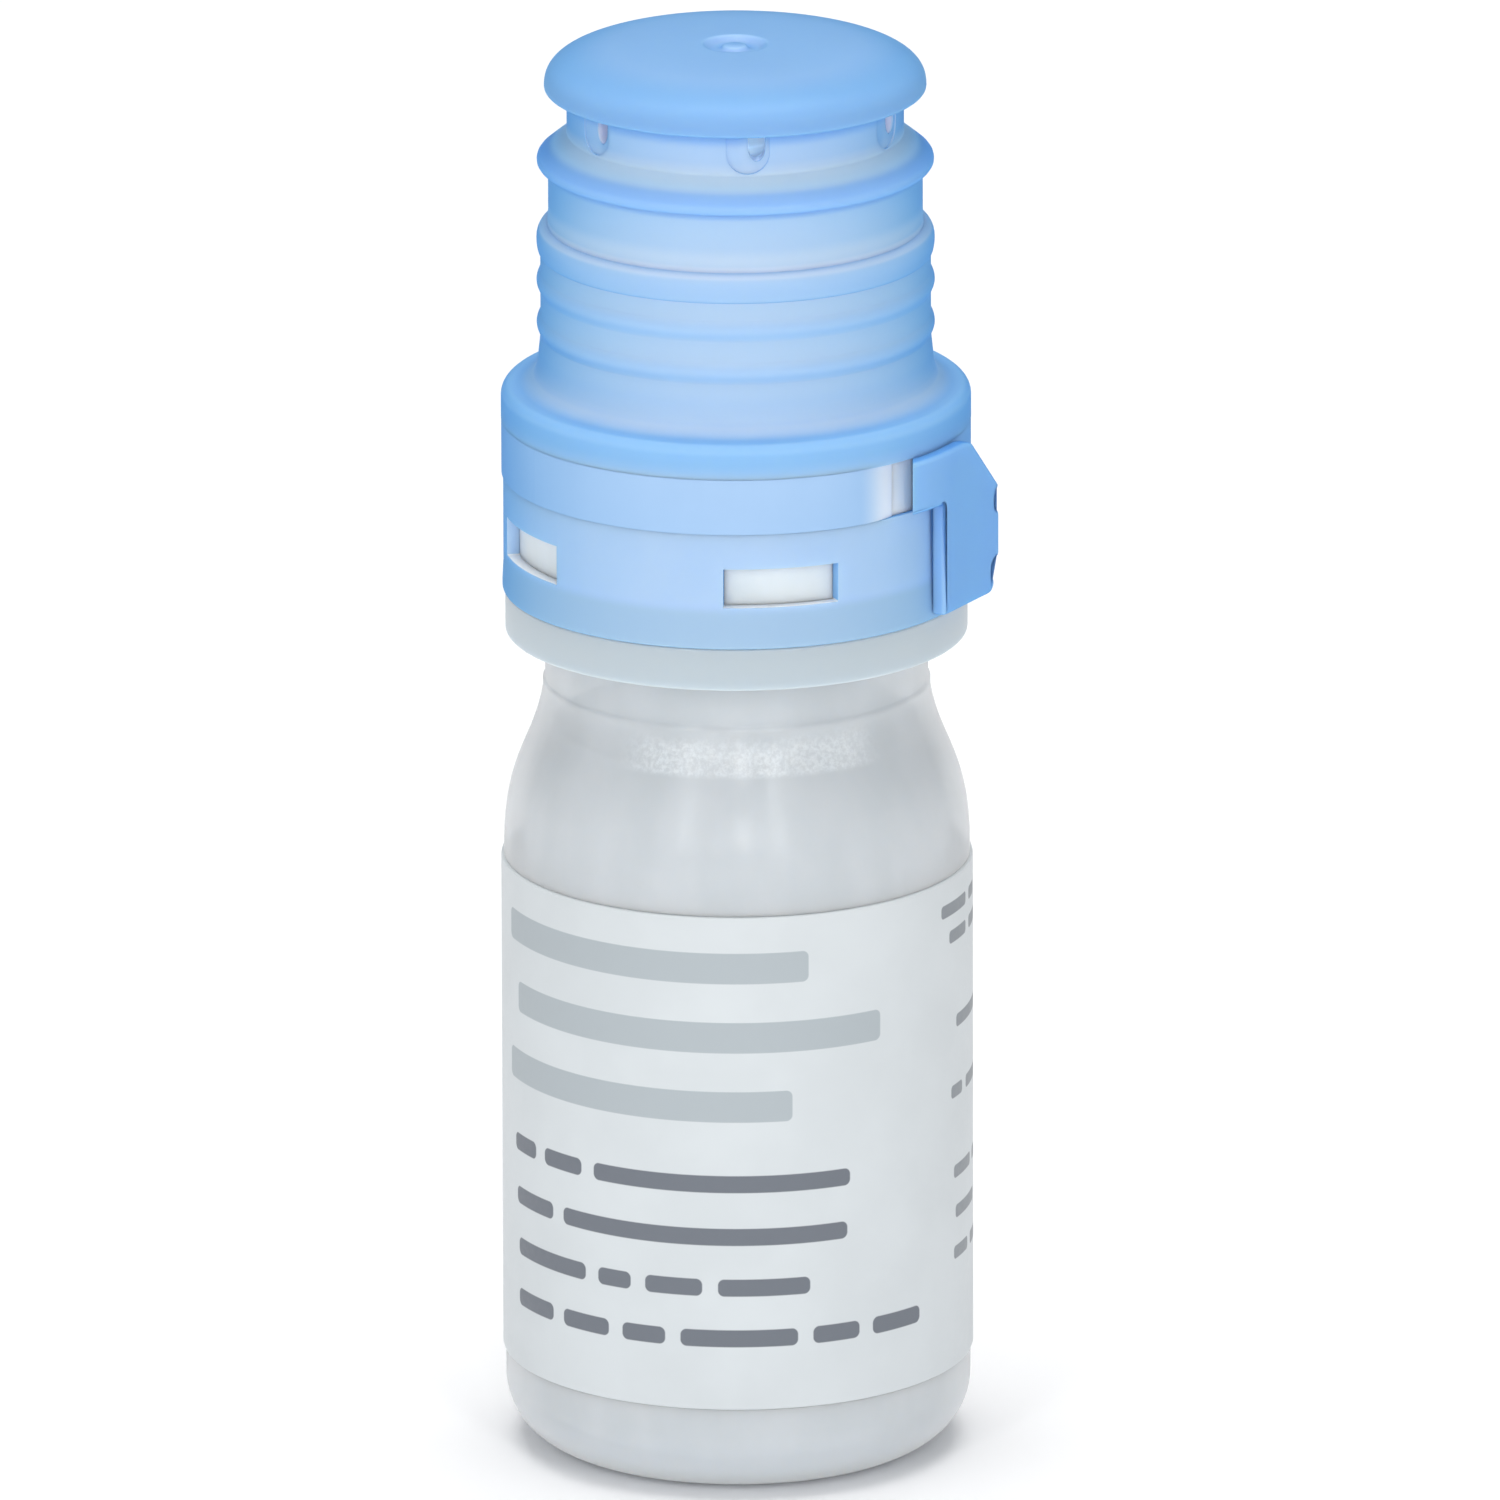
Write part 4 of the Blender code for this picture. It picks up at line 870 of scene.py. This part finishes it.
# Plain bars in place of print. A row is its height, where it starts, and the lengths of its bars.
HEADLINE_ROWS = ((26.3, -14.2, (17.6,)), (22.9, -13.2, (20.4,)), (19.5, -14.2, (16.8,)))
WORD_ROWS = (
    (15.7, -13.6, (2.2, 2.6, 12.8)), (13.1, -13.4, (3.4, 14.6)),
    (10.6, -13.2, (5.4, 1.8, 2.8, 4.4)), (8.1, -13.2, (3.2, 2.8, 2.2, 5.6, 2.4, 3.0)))
SIDE_ROWS = (
    (27.3, 11.6, (3.0, 1.4)), (25.9, 12.4, (2.2, 2.8)), (21.6, 13.2, (4.6,)), (18.2, 12.6, (1.4, 3.2)),
    (14.2, 12.9, (2.6, 2.2)), (12.2, 13.1, (3.4, 3.0)), (10.2, 12.9, (2.0, 4.4)))

# The print's rows, half the height of its bars, the gap between them, their corners and their tone
PRINT = (
    (HEADLINE_ROWS, 0.75, 0.0, 0.3, tone(176, 185, 190)),
    (WORD_ROWS, 0.42, 0.75, 0.3, tone(112, 118, 127)),
    (SIDE_ROWS, 0.32, 0.6, 0.2, tone(140, 146, 152)))
PRINT_EDGE = 0.03
PAPER = (tone(211, 217, 220), tone(216, 222, 225))


def bar_mask(look, across, up, rows, half_height, gap, corner):
    """One mask for rows of bars with rounded corners."""
    total = None
    for height, start, lengths in rows:
        for length in lengths:
            far_x = look.math("ABSOLUTE", look.math("SUBTRACT", across, start + length / 2))
            far_z = look.math("ABSOLUTE", look.math("SUBTRACT", up, height))
            out_x = look.either(look.math("SUBTRACT", far_x, length / 2 - corner), 0.0)
            out_z = look.either(look.math("SUBTRACT", far_z, half_height - corner), 0.0)
            mask = look.spread(look.length(out_x, out_z), corner + PRINT_EDGE, corner - PRINT_EDGE)
            total = mask if total is None else look.either(total, mask)
            start += length + gap
    return total


def label_look():
    """White film with plain grey bars in place of print."""
    look = Look("label_film")
    grain = look.noise(3000.0, roughness=0.6)
    cloud = look.noise(180.0)
    shade = look.mix(look.spread(cloud, *NOISE_RANGE), *PAPER)
    up, _, turn = look.cylinder()
    across = look.times(turn, math.radians(LABEL_OUT))
    for rows, half_height, gap, corner, ink in PRINT:
        shade = look.mix(bar_mask(look, across, up, rows, half_height, gap, corner), shade, ink)
    look.paint("Base Color", shade)
    look.paint("Roughness", look.spread(grain, *NOISE_RANGE, 0.42, 0.52))
    look.bump((cloud, 0.00002, 0.3), (grain, 0.000004, 0.4))
    look.set(IOR=1.45)
    return look


cap_blue = cap_look()
ring_blue = ring_look()
strip_blue = strip_look()
feather_blue = strip_end_look()
tab_blue = blue_plastic("tab_polyethylene", TAB_BLUE, 0.4)
white = plastic(
    "natural_polyethylene", WHITE, WHITE_SCATTER, 0.4, SHALLOW, layers=[(COLLAR_GREY, low_collar)])
natural = body_look()
inner_wall = inner_wall_look()
liquid = liquid_look()
bubbles = plastic("foam", BUBBLE, EVEN_SCATTER, 0.3)
silicone = plastic("silicone", SILICONE, SILICONE_SCATTER, 0.55)
membrane = plastic("filter_membrane", MEMBRANE, MEMBRANE_SCATTER, 0.9, cloud_scale=MEMBRANE_SCALE)
steel = steel_look()
label = label_look()


# Pieces


def shoulder(low_radius, high_radius, steps):
    """The shoulder from the straight side up to the neck."""
    rise = NECK_Z - SHOULDER_Z
    start = (low_radius, SHOULDER_Z)
    first_pull = (low_radius, SHOULDER_Z + rise * SHOULDER_LOW_PULL)
    out = high_radius + (low_radius - high_radius) * SHOULDER_OUT_PULL
    last_pull = (out, NECK_Z - rise * SHOULDER_HIGH_PULL)
    return curve_points(start, first_pull, last_pull, (high_radius, NECK_Z), steps)


def bottle_inside(gap=0.0):
    """The bottle's inner outline, from the middle of its floor up to the neck."""
    floor = FLOOR_Z + gap
    radius = BODY - WALL - gap
    fillet = BASE_FILLET - WALL
    points = [(0, floor)]
    points += arc_points((radius - fillet, floor + fillet), fillet, -90, 0, 10)
    points += shoulder(radius, NECK - NECK_WALL - gap, 24)
    return points


def base_groove():
    """The moulded groove under the bottle."""
    flanks = ((-1.0, 0.0), (-0.5, GROOVE_FLANK), (0.0, GROOVE_DEPTH), (0.5, GROOVE_FLANK), (1.0, 0.0))
    return [(GROOVE + GROOVE_HALF * side, height) for side, height in flanks]


def neck_outside():
    """The neck from its bead up to the mouth."""
    bead_top = FINISH_BEAD_Z + FINISH_BEAD_HEIGHT
    low_ramp, high_ramp = FINISH_BEAD_RAMPS
    points = []
    for out, rise in ((1.0, 0.0), (1.0, 0.4), (0.4, 0.65), (0.0, 1.0)):
        points.append((NECK + NECK_BEAD_OUT * out, NECK_BEAD_Z + NECK_BEAD_HEIGHT * rise))
    points += [(NECK, FINISH_Z), (FINISH, FINISH_Z + NECK_SLANT), (FINISH, FINISH_BEAD_Z - low_ramp)]
    points += [(FINISH_BEAD, FINISH_BEAD_Z), (FINISH_BEAD, bead_top), (FINISH, bead_top + high_ramp)]
    points += [(FINISH, MOUTH_Z - MOUTH_CHAMFER), (FINISH - MOUTH_CHAMFER, MOUTH_Z)]
    return points


def make_bottle():
    low = LABEL_LOW - PANEL_MARGIN
    high = LABEL_HIGH + PANEL_MARGIN
    outside = [(0, 0)] + base_groove()
    outside += arc_points((BODY - BASE_FILLET, BASE_FILLET), BASE_FILLET, -90, 0, 18)
    outside += [(BODY, low - PANEL_STEP), (PANEL, low), (PANEL, high), (BODY, high + PANEL_STEP)]
    outside += [p for p in shoulder(BODY, NECK, 40) if SHOULDER_SPAN[0] < p[1] < SHOULDER_SPAN[1]]
    outside += neck_outside()
    inside = bottle_inside()
    inside += [(NECK - NECK_WALL, FINISH_Z), (MOUTH_BORE, FINISH_Z + NECK_SLANT), (MOUTH_BORE, MOUTH_Z)]
    made = turned("bottle_body", outside + inside[::-1], natural)
    made.data.materials.append(inner_wall.material)
    for face in made.data.polygons:
        spot = face.center
        inward = face.normal.x * spot.x + face.normal.y * spot.y < 0
        inner_side = inward and spot.z > INNER_FROM_Z * MM
        inner_floor = face.normal.z > 0.5 and spot.z < INNER_FLOOR_Z * MM
        face.material_index = int(inner_side or inner_floor)
    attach(made, "bottle_unit")
    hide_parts("bottle")


def make_liquid():
    outline = [p for p in bottle_inside(LIQUID_GAP) if p[1] < LIQUID_Z - MENISCUS_FOOT]
    rim = outline[-1][0]
    outline += [(rim - MENISCUS_EDGE, LIQUID_Z + MENISCUS_RISE), (rim - MENISCUS_REACH, LIQUID_Z)]
    outline += [(0, LIQUID_Z)]
    made = turned("eye_drops", outline, liquid, FINE_STEPS)
    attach(made, "bottle_unit")


def make_label():
    edge = [(LABEL_EDGE * out, LABEL_EDGE * rise) for out, rise in ((1.0, 0.0), (0.3, 0.4), (0.0, 1.4))]
    section = [(LABEL_IN, LABEL_LOW)]
    section += [(LABEL_OUT - out, LABEL_LOW + rise) for out, rise in edge]
    section += [(LABEL_OUT - out, LABEL_HIGH - rise) for out, rise in reversed(edge)]
    section += [(LABEL_IN, LABEL_HIGH)]
    half = 180.0 - LABEL_SEAM / 2
    made = swept("label_wrap", section, -half, half, label)
    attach(made, "bottle_unit")
    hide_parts("label")


def make_housing():
    outline = [(RIM_BORE, RIM_Z), (HOUSING, RIM_Z), (HOUSING, LEDGE_Z), (COLLAR, LEDGE_Z), (COLLAR, SKIRT_Z)]
    outline += HOUSING_SKIRT + HOUSING_PLUG + HOUSING_TOWER + [(RIM_BORE, DECK_Z)]
    made = turned("housing_body", soften(outline, HOUSING_EDGE), white)
    section = box(LUG_IN, LUG_OUT, WINDOW_LOW + LUG_GAP, WINDOW_HIGH - LUG_GAP)
    half = WINDOW_SPAN / 2 - LUG_GAP_DEG
    for centre in WINDOW_CENTRES:
        lug = swept("lug", section, centre - half, centre + half, white)
        combine(made, lug, "UNION")
    section = box(STOP_IN, STOP_OUT, SEAM_LOW + STOP_RAISE, SEAM_HIGH)
    stop = swept("stop", section, STRIP_TIP + STOP_GAP_DEG, STOP_END, white)
    for vert in stop.data.vertices:
        vert.co.x = min(vert.co.x, (STRIP_END_X - STOP_GAP) * MM)
    combine(made, stop, "UNION")
    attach(made, "bottle_unit")
    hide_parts("dispenser_housing")


def make_ring():
    round_out, round_up = RING_FOOT_ROUND
    top = SEAM_LOW - SEAM_GAP
    outline = [(RING_IN, RING_Z), (RING_FOOT - round_out, RING_Z), (RING_FOOT, RING_Z + round_up)]
    outline += [(RING_FOOT, RING_Z + RING_FOOT_HEIGHT), (RING_OUT, RING_Z + RING_SLOPE_HEIGHT)]
    outline += [(RING_OUT, top), (RING_IN, top)]
    made = turned("anchor_band", soften(outline, BAND_EDGE), ring_blue)
    section = box(*WINDOW_CUT, WINDOW_LOW, WINDOW_HIGH)
    for centre in WINDOW_CENTRES:
        cutter = swept("window", section, centre - WINDOW_SPAN / 2, centre + WINDOW_SPAN / 2, ring_blue)
        combine(made, cutter)
    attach(made, "bottle_unit")
    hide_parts("anchor_ring")


def strip_section(azimuth):
    """Section of the tear strip, thinner towards its fixed end."""
    share = min(1.0, max(0.0, (STRIP_TIP - azimuth) / FEATHER_DEG))
    outer = FEATHER_OUT + (STRIP_OUT - FEATHER_OUT) * math.sin(share * math.pi / 2)
    return soften(box(RING_IN, outer, SEAM_LOW, SEAM_HIGH), BAND_EDGE)


def link_body(index):
    """The CAD body that carries a link of the strip, counted from 1."""
    return "bottle_unit" if index == 1 else "strip_link_%d" % index


def link_middle(index):
    """The azimuth of the middle of a link."""
    return STRIP_START - STRIP_TURN * (index - 0.5)


def make_strip():
    """Strip pieces that each run from the middle of one link to the middle of the next."""
    for index in range(1, STRIP_LINKS):
        middle = link_middle(index)
        start = STRIP_TIP if index == 1 else middle
        end = link_middle(index + 1)
        look = feather_blue if index == 1 else strip_blue
        made = swept("strip_%d" % index, strip_section, start, end, look)
        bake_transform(made)
        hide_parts("tear_strip_%d" % index)
    start = link_middle(STRIP_LINKS)
    made = swept("strip_%d" % STRIP_LINKS, strip_section, start, STRIP_END - 360.0, strip_blue)
    for vert in made.data.vertices:
        vert.co.x = max(vert.co.x, STRIP_END_X * MM)
    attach(made, link_body(STRIP_LINKS))
    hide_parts("tear_strip_%d" % STRIP_LINKS)


def tab_outline(arc, mid_radius):
    """Side view of the tab, in millimetres: distance along the wall from its root, and height."""
    leg = math.radians(TAB_LEG_AT - STRIP_END) * mid_radius
    end = arc + TAB_REACH
    foot = end - TAB_FOOT_BACK
    root = SEAM_LOW + TAB_ROOT_RAISE
    top = SEAM_HIGH - TAB_TOP_GAP
    low_in = end - TAB_LOW_NOTCH
    high_in = end - TAB_HIGH_NOTCH
    points = [(0, root), (leg, root), (leg, TAB_LOW), (foot - TAB_CHAMFER, TAB_LOW)]
    points += [(foot, TAB_LOW + TAB_CHAMFER), (foot, TAB_LOW + 0.6), (low_in, TAB_LOW + 0.9)]
    points += [(low_in, TAB_LOW + 1.4), (end, TAB_LOW + 1.7), (end, TAB_SHOULDER_Z - 1.3)]
    points += [(high_in, TAB_SHOULDER_Z - 1.0), (high_in, TAB_SHOULDER_Z - 0.4), (end, TAB_SHOULDER_Z)]
    points += [(end - TAB_BROW_BACK, TAB_BROW_Z), (end - TAB_TOP_BACK, top), (0, top)]
    return soften(points, TAB_CORNER)


def inset(outline, depth):
    """The outline with each point moved inwards, for a rounded edge."""
    moved = []
    for before, here, after in zip([outline[-1]] + outline, outline, outline[1:] + outline[:1]):
        way = (Vector(after) - Vector(before)).normalized()
        moved.append((here[0] - way.y * depth, here[1] + way.x * depth))
    return moved


def make_tab():
    """The tab, made flat, then bent round the ring as far as the place where it leaves it."""
    mid_radius = TAB_IN + TAB_THICKNESS / 2
    arc = math.radians(TAB_LEAVES - STRIP_END) * mid_radius
    points = tab_outline(arc, mid_radius)
    shape = bmesh.new()
    layers = []
    for below, depth in ((TAB_THICKNESS, 0.0), *TAB_ROUND):
        out = TAB_THICKNESS - below
        layer = []
        for along, height in inset(points, depth):
            layer.append(shape.verts.new((along if along > TAB_SQUARE_ROOT else 0, out, height)))
        layers.append(layer)
    skin_between(shape, layers)
    bmesh.ops.triangulate(shape, faces=[f for f in shape.faces if len(f.verts) > 4])
    for step in range(1, TAB_BENDS + 1):
        parts = list(shape.verts) + list(shape.edges) + list(shape.faces)
        place = (arc * step / TAB_BENDS, 0, 0)
        bmesh.ops.bisect_plane(shape, geom=parts, plane_co=place, plane_no=(1, 0, 0))
    for vert in shape.verts:
        along, out, height = vert.co
        if out < TAB_CLOSE and along < TAB_SINK_REACH:
            out = -TAB_SINK * (1.0 - along / TAB_SINK_REACH)
        azimuth = STRIP_END + math.degrees(min(along, arc) / mid_radius)
        if along < TAB_CLOSE:
            azimuth = math.degrees(math.asin(STRIP_END_X / (TAB_IN + out)))
        tangent = around(1.0, azimuth + 90.0)
        vert.co = around(TAB_IN + out, azimuth, height) + tangent * max(0, along - arc)
    made = finish_mesh("tab_grip", shape, tab_blue)
    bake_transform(made)
    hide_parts("pull_tab")


def rib(height, steps=16):
    """A soft grip rib with a rounded crest and hollow feet, from its lower foot to its upper foot."""
    points = []
    for k in range(steps + 1):
        share = 2.0 * k / steps - 1.0
        swell = (1.0 + math.cos(math.pi * share)) / 2.0
        points.append((RIB_BASE + (RIB - RIB_BASE) * swell ** RIB_SHARPNESS, height + RIB_HALF * share))
    return points


def top_rib(steps=16):
    """The highest rib, with a crease above it."""
    points = []
    for k in range(steps + 1):
        turn = math.pi * (k / steps - 1 / 2)
        base = RIB_BASE if turn < 0 else TOP_RIB_BASE
        points.append((base + (RIB - base) * math.cos(turn), TOP_RIB_Z + TOP_RIB_HALF * math.sin(turn)))
    return points + TOP_RIB_CREASE


def slot_cutter(azimuth, half, middle, drop, near_radius, shift=0.0):
    """A bar that cuts into the cap's neck as far as a radius, with a round foot a drop below its middle."""
    outline = [(half, VENT_TOP), (-half, VENT_TOP)]
    outline += [(half * a, middle + drop * b) for a, b in arc_points((0, 0), 1.0, 180, 360, 16)]
    shape = bmesh.new()
    out = around(1.0, azimuth)
    side = around(1.0, azimuth + 90.0)
    loops = []
    for radius in (near_radius, VENT_OUT):
        spots = [out * radius + side * (a + shift) + Vector((0, 0, z * MM)) for a, z in outline]
        loops.append([shape.verts.new(spot) for spot in spots])
    skin_between(shape, loops)
    return finish_mesh("vent", shape, cap_blue)


def cap_flange(foot):
    """The flange from its lower outer edge to the fillet under the ribs."""
    points = [(CAP, foot)]
    points += arc_points((CAP - FLANGE_EDGE, FLANGE_TOP - FLANGE_EDGE), FLANGE_EDGE, 0, 90, 8)
    fillet = [(radius, FLANGE_TOP + rise) for radius, rise in FLANGE_FOOT]
    points += curve_points((CAP - FLANGE_EDGE, FLANGE_TOP), *fillet, 8)
    return points


def cap_disc():
    """The disc from the foot of its underside to its middle, with the dimple that the gate leaves."""
    start, *pulls = [(CAP_NECK + out, DISC_UNDER - drop) for out, drop in DISC_FILLET]
    edge = [(DISC - back, DISC_UNDER + rise) for back, rise in DISC_EDGE]
    flat = (DISC_FLAT, DISC_UNDER)
    rim = (DISC, DISC_RIM_Z)
    points = curve_points(start, *pulls, flat, 5)
    points += curve_points(flat, *edge, rim, 6)
    dome = curve_points(rim, (DISC, DISC_PULL_Z), (DISC_PULL, DISC_TOP), (0, DISC_TOP), 36)
    points += [p for p in dome if p[0] > DIMPLE]
    points += [(radius, DISC_TOP - depth) for radius, depth in DIMPLE_DEPTHS]
    return points


def make_cap():
    foot = SEAM_HIGH + SEAM_GAP
    points = CAP_INSIDE + [(RING_IN, foot)] + cap_flange(foot)
    for height in RIB_LEVELS:
        points += rib(height)
    points += top_rib() + THIN_RING + CAP_NECK_FOOT + cap_disc()
    made = turned("cap_shell", points, cap_blue)
    for index in range(VENT_COUNT):
        azimuth = VENT_FIRST + 360.0 / VENT_COUNT * index
        combine(made, slot_cutter(azimuth, WELL_HALF, WELL_Z, WELL_HALF, WELL_IN))
        combine(made, slot_cutter(azimuth, HOLE_HALF, HOLE_Z, HOLE_DROP, HOLE_IN, shift=HOLE_SHIFT))
    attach(made, "cap")
    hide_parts("cap")


def make_nozzle():
    outline = [(NOZZLE_BORE, NOZZLE_Z), (NOZZLE, NOZZLE_Z), (NOZZLE, NOZZLE_SHOULDER_Z)]
    outline += curve_points((NOZZLE, NOZZLE_SHOULDER_Z), *NOZZLE_PULLS, (NOZZLE_STEM, NOZZLE_STEM_Z), 20)
    outline += arc_points((NOZZLE_TIP - NOZZLE_EDGE, NOZZLE_TOP - NOZZLE_EDGE), NOZZLE_EDGE, 0, 90, 8)
    made = turned("nozzle_tip", outline + NOZZLE_INSIDE, white, FINE_STEPS)
    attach(made, "bottle_unit")
    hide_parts("nozzle")


def make_spring():
    """A round wire wound in coils."""
    shape = bmesh.new()
    steps = SPRING_COILS * SPRING_STEPS
    rings = []
    for k in range(steps + 1):
        turn = 360.0 * k * SPRING_COILS / steps
        height = SPRING_Z + WIRE + (SPRING_LENGTH - 2 * WIRE) * k / steps
        ring = []
        for side in range(WIRE_SIDES):
            angle = math.tau * side / WIRE_SIDES
            spot = around(SPRING + WIRE * math.cos(angle), turn, height + WIRE * math.sin(angle))
            ring.append(shape.verts.new(spot))
        rings.append(ring)
    skin_between(shape, rings)
    made = finish_mesh("spring_coil", shape, steel)
    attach(made, "bottle_unit")
    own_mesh(made)
    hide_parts("return_spring")


def inner_radius(height):
    """Inner radius of the bottle's shoulder at a height."""
    spots = bottle_inside()
    for low, high in zip(spots, spots[1:]):
        if low[1] <= height <= high[1]:
            share = (height - low[1]) / max(high[1] - low[1], 1e-6)
            return low[0] + (high[0] - low[0]) * share
    return spots[-1][0]


def make_foam():
    """Small bubbles that float on the eye drops by the wall."""
    random.seed(FOAM_SEED)
    shape = bmesh.new()
    for _ in range(FOAM_COUNT):
        azimuth = FOAM_START + FOAM_SPAN * random.random()
        size = FOAM_SIZE + FOAM_SIZE_SPAN * random.random() ** 2
        height = LIQUID_Z + FOAM_RISE + FOAM_HEIGHT * random.random() ** 1.5
        reach = inner_radius(height) - size - FOAM_GAP - FOAM_DEPTH * random.random()
        place = Matrix.Translation(around(reach, azimuth, height))
        bmesh.ops.create_icosphere(shape, subdivisions=1, radius=size * MM, matrix=place)
    made = finish_mesh("foam", shape, bubbles, math.radians(80))
    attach(made, "bottle_unit")


make_bottle()
make_liquid()
make_label()
make_housing()
make_ring()
make_strip()
make_tab()
make_cap()
make_nozzle()
make_spring()
make_foam()

# Hidden pieces that keep their CAD meshes
for node, look in (
        ("neck_gasket", silicone), ("check_valve", silicone), ("tip_seal", silicone),
        ("flow_insert", white), ("valve_pin", white), ("filter_retainer", white),
        ("vent_filter", membrane)):
    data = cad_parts[node].data
    data.materials.clear()
    data.materials.append(look.material)


# Stage

FLOOR_TONES = (tone(252, 252, 253), tone(254, 254, 255))
FLOOR_DROP = 0.02
FLOOR_SIZE = 3.0
WORLD_STRENGTH = 0.32

# Area lights that face the middle of the part from one distance, both in millimetres. A row is its
# name, azimuth, height above the middle, width and height in metres, and power in watts.
MIDDLE_Z = 34.0
LIGHT_DISTANCE = 950.0
BOXES = (
    ("left_fill", -65.0, 400.0, (0.5, 0.7), 0.6),
    ("left_box", -27.0, 400.0, (0.14, 0.7), 1.5),
    ("right_box", 22.0, 400.0, (0.14, 0.7), 1.9),
    ("front_box", 3.0, 270.0, (0.12, 0.3), 0.9))
TOP_SPOT = (0.0, 0.15, 1.7)
TOP_SIZE = (1.2, 1.2)
TOP_POWER = 22.5

# Small lights inside the part, for the light that its plastics let through. A row is its name,
# radius and height in millimetres, power in watts, and colour.
GLOW_AZIMUTH = 14.0
GLOW_SIZE = 0.0015
GLOW_BLUE = (0.66, 0.84, 1.0)
GLOW_WHITE = (1.0, 1.0, 1.0)
GLOWS = (
    ("cap_glow", 0.0, 66.2, 0.00017, GLOW_BLUE),
    ("nozzle_glow", 3.3, 65.4, 0.00013, GLOW_BLUE),
    ("bottle_glow", 0.0, 38.0, 0.00015, GLOW_WHITE))

# Camera: distance in metres, lens and target in millimetres, turns in degrees
VIEW_DISTANCE = 1.792
VIEW_LENS = 912.0
VIEW_ELEVATION = 16.7
VIEW_ROLL = -0.14
VIEW_TARGET = (0.62, 0.0, 33.7)


def make_floor():
    look = Look("floor")
    look.paint("Base Color", look.mix(look.noise(30.0, detail=2.0), *FLOOR_TONES))
    look.set(Roughness=0.9)
    shape = bmesh.new()
    bmesh.ops.create_grid(shape, x_segments=8, y_segments=8, size=FLOOR_SIZE)
    floor = finish_mesh("floor", shape, look)
    floor.location = (0, 0, -FLOOR_DROP * MM)


def make_world():
    world = bpy.data.worlds.new("studio")
    bpy.context.scene.world = world
    world.use_nodes = True
    back = world.node_tree.nodes["Background"]
    back.inputs["Color"].default_value = (1.0, 1.0, 1.0, 1.0)
    back.inputs["Strength"].default_value = WORLD_STRENGTH


def make_box(name, spot, size, power):
    """A rectangular light that faces the middle of the part."""
    data = bpy.data.lights.new(name, "AREA")
    data.shape = "RECTANGLE"
    data.size, data.size_y = size
    data.energy = power
    made = bpy.data.objects.new(name, data)
    bpy.context.scene.collection.objects.link(made)
    made.location = spot
    way = Vector((0, 0, MIDDLE_Z)) * MM - Vector(spot)
    made.rotation_euler = way.to_track_quat("-Z", "Y").to_euler()


def make_glow(name, spot, power, colour):
    """A small round light that the camera doesn't see."""
    data = bpy.data.lights.new(name, "POINT")
    data.energy = power
    data.color = colour
    data.shadow_soft_size = GLOW_SIZE
    made = bpy.data.objects.new(name, data)
    bpy.context.scene.collection.objects.link(made)
    made.location = spot
    made.visible_camera = False


def make_lights():
    for name, azimuth, rise, size, power in BOXES:
        make_box(name, around(LIGHT_DISTANCE, azimuth, MIDDLE_Z + rise), size, power)
    make_box("top_box", TOP_SPOT, TOP_SIZE, TOP_POWER)
    for name, reach, height, power, colour in GLOWS:
        make_glow(name, around(reach, GLOW_AZIMUTH, height), power, colour)


def make_camera():
    """The photograph's view: a long lens from the front, a little above."""
    elevation = math.radians(VIEW_ELEVATION)
    data = bpy.data.cameras.new("camera")
    data.sensor_width = 36.0
    data.lens = VIEW_LENS
    data.clip_start = 0.05
    data.clip_end = 30.0
    camera = bpy.data.objects.new("camera", data)
    bpy.context.scene.collection.objects.link(camera)
    back = Vector((0, -math.cos(elevation), math.sin(elevation)))
    camera.rotation_mode = "QUATERNION"
    roll = Matrix.Rotation(math.radians(VIEW_ROLL), 3, "Z").to_quaternion()
    camera.rotation_quaternion = (-back).to_track_quat("-Z", "Y") @ roll
    camera.location = Vector(VIEW_TARGET) * MM + back * VIEW_DISTANCE
    bpy.context.scene.camera = camera


make_floor()
make_world()
make_lights()
make_camera()
bpy.context.scene.view_settings.view_transform = "Standard"
bpy.context.scene.view_settings.look = "None"
